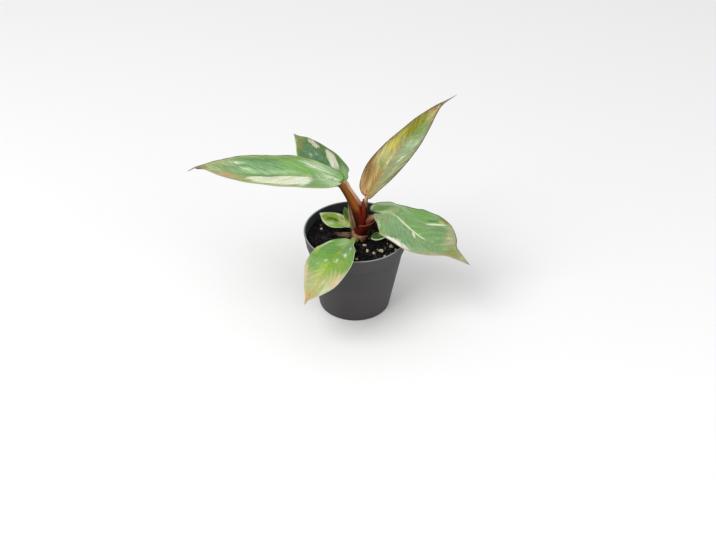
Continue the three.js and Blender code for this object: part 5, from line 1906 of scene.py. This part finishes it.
def add_lamp(name, eye, size, power):
    """Hangs a round lamp of that size in metres."""
    lamp = bpy.data.lights.new(name, "AREA")
    lamp.shape, lamp.size, lamp.energy = "DISK", size, power
    holder = bpy.data.objects.new(name, lamp)
    holder.matrix_world = aimed(Vector(eye), Vector(LAMP_TARGET))
    bpy.context.scene.collection.objects.link(holder)


class PLANT_OT_add_stage(bpy.types.Operator):
    """Sets the plain pale floor, the camera and the soft studio light"""

    bl_idname = "plant.add_stage"
    bl_label = "Stage"

    def execute(self, context):
        scene, settings = context.scene, context.scene.plant.stage
        corners = [(x * FLOOR_HALF, y * FLOOR_HALF, 0) for x, y in ((-1, -1), (1, -1), (1, 1), (-1, 1))]
        mesh = bpy.data.meshes.new("floor")
        mesh.from_pydata(corners, [], [(0, 1, 2, 3)])
        mesh.materials.append(floor_material(settings))
        floor = bpy.data.objects.new("floor", mesh)
        scene.collection.objects.link(floor)

        target = Vector(settings.target)
        elevation = settings.elevation
        eye = target + Vector((0, -math.cos(elevation), math.sin(elevation))) * settings.distance
        camera = bpy.data.objects.new("camera", bpy.data.cameras.new("camera"))
        camera.data.lens, camera.data.sensor_width = settings.lens, 36
        camera.data.clip_start, camera.data.clip_end = 0.01, 20
        camera.matrix_world = aimed(eye, target, settings.roll)
        scene.collection.objects.link(camera)
        scene.camera = camera

        add_lamp("key light", (-0.55, -0.5, 0.95), 0.8, settings.key_power)
        add_lamp("fill light", (0.9, -0.6, 0.55), 0.9, settings.fill_power)
        scene.world = scene.world or bpy.data.worlds.new("studio")
        scene.world.use_nodes = True
        background = scene.world.node_tree.nodes["Background"]
        background.inputs["Color"].default_value = (1, 1, 1, 1)
        background.inputs["Strength"].default_value = settings.surround
        scene.view_settings.view_transform = "Standard"
        return {"FINISHED"}


OPERATORS = [
    PLANT_OT_add_pot, PLANT_OT_add_mix, PLANT_OT_add_crumbs, PLANT_OT_add_granules, PLANT_OT_add_stem,
    PLANT_OT_add_large_leaves, PLANT_OT_add_small_leaves, PLANT_OT_add_spear, PLANT_OT_add_sheaths,
    PLANT_OT_add_stage,
]


class PLANT_PT_panel(bpy.types.Panel):
    """Lists the settings and the operators"""

    bl_idname = "PLANT_PT_panel"
    bl_label = "Potted philodendron"
    bl_space_type = "VIEW_3D"
    bl_region_type = "UI"
    bl_category = "Philodendron"

    def draw(self, context):
        plant = context.scene.plant
        for settings in (plant.pot, plant.mix, plant.stalk, plant.leaf, plant.shades, plant.stage):
            box = self.layout.box()
            for name in settings.__annotations__:
                box.prop(settings, name)
        for operator in OPERATORS:
            self.layout.operator(operator.bl_idname)


CLASSES = [
    PotSettings, MixSettings, StalkSettings, LeafSettings, ShadeSettings, StageSettings, PlantSettings,
    *OPERATORS, PLANT_PT_panel,
]


def register():
    for kind in CLASSES:
        bpy.utils.register_class(kind)
    bpy.types.Scene.plant = PointerProperty(type=PlantSettings)


def unregister():
    del bpy.types.Scene.plant
    for kind in reversed(CLASSES):
        bpy.utils.unregister_class(kind)


def main():
    register()
    make_marking_group()
    make_streak_group()
    make_blade_group()
    make_stalk_group()
    make_grain_group()
    for operator in OPERATORS:
        _, name = operator.bl_idname.split(".")
        getattr(bpy.ops.plant, name)()


if __name__ == "__main__":
    main()
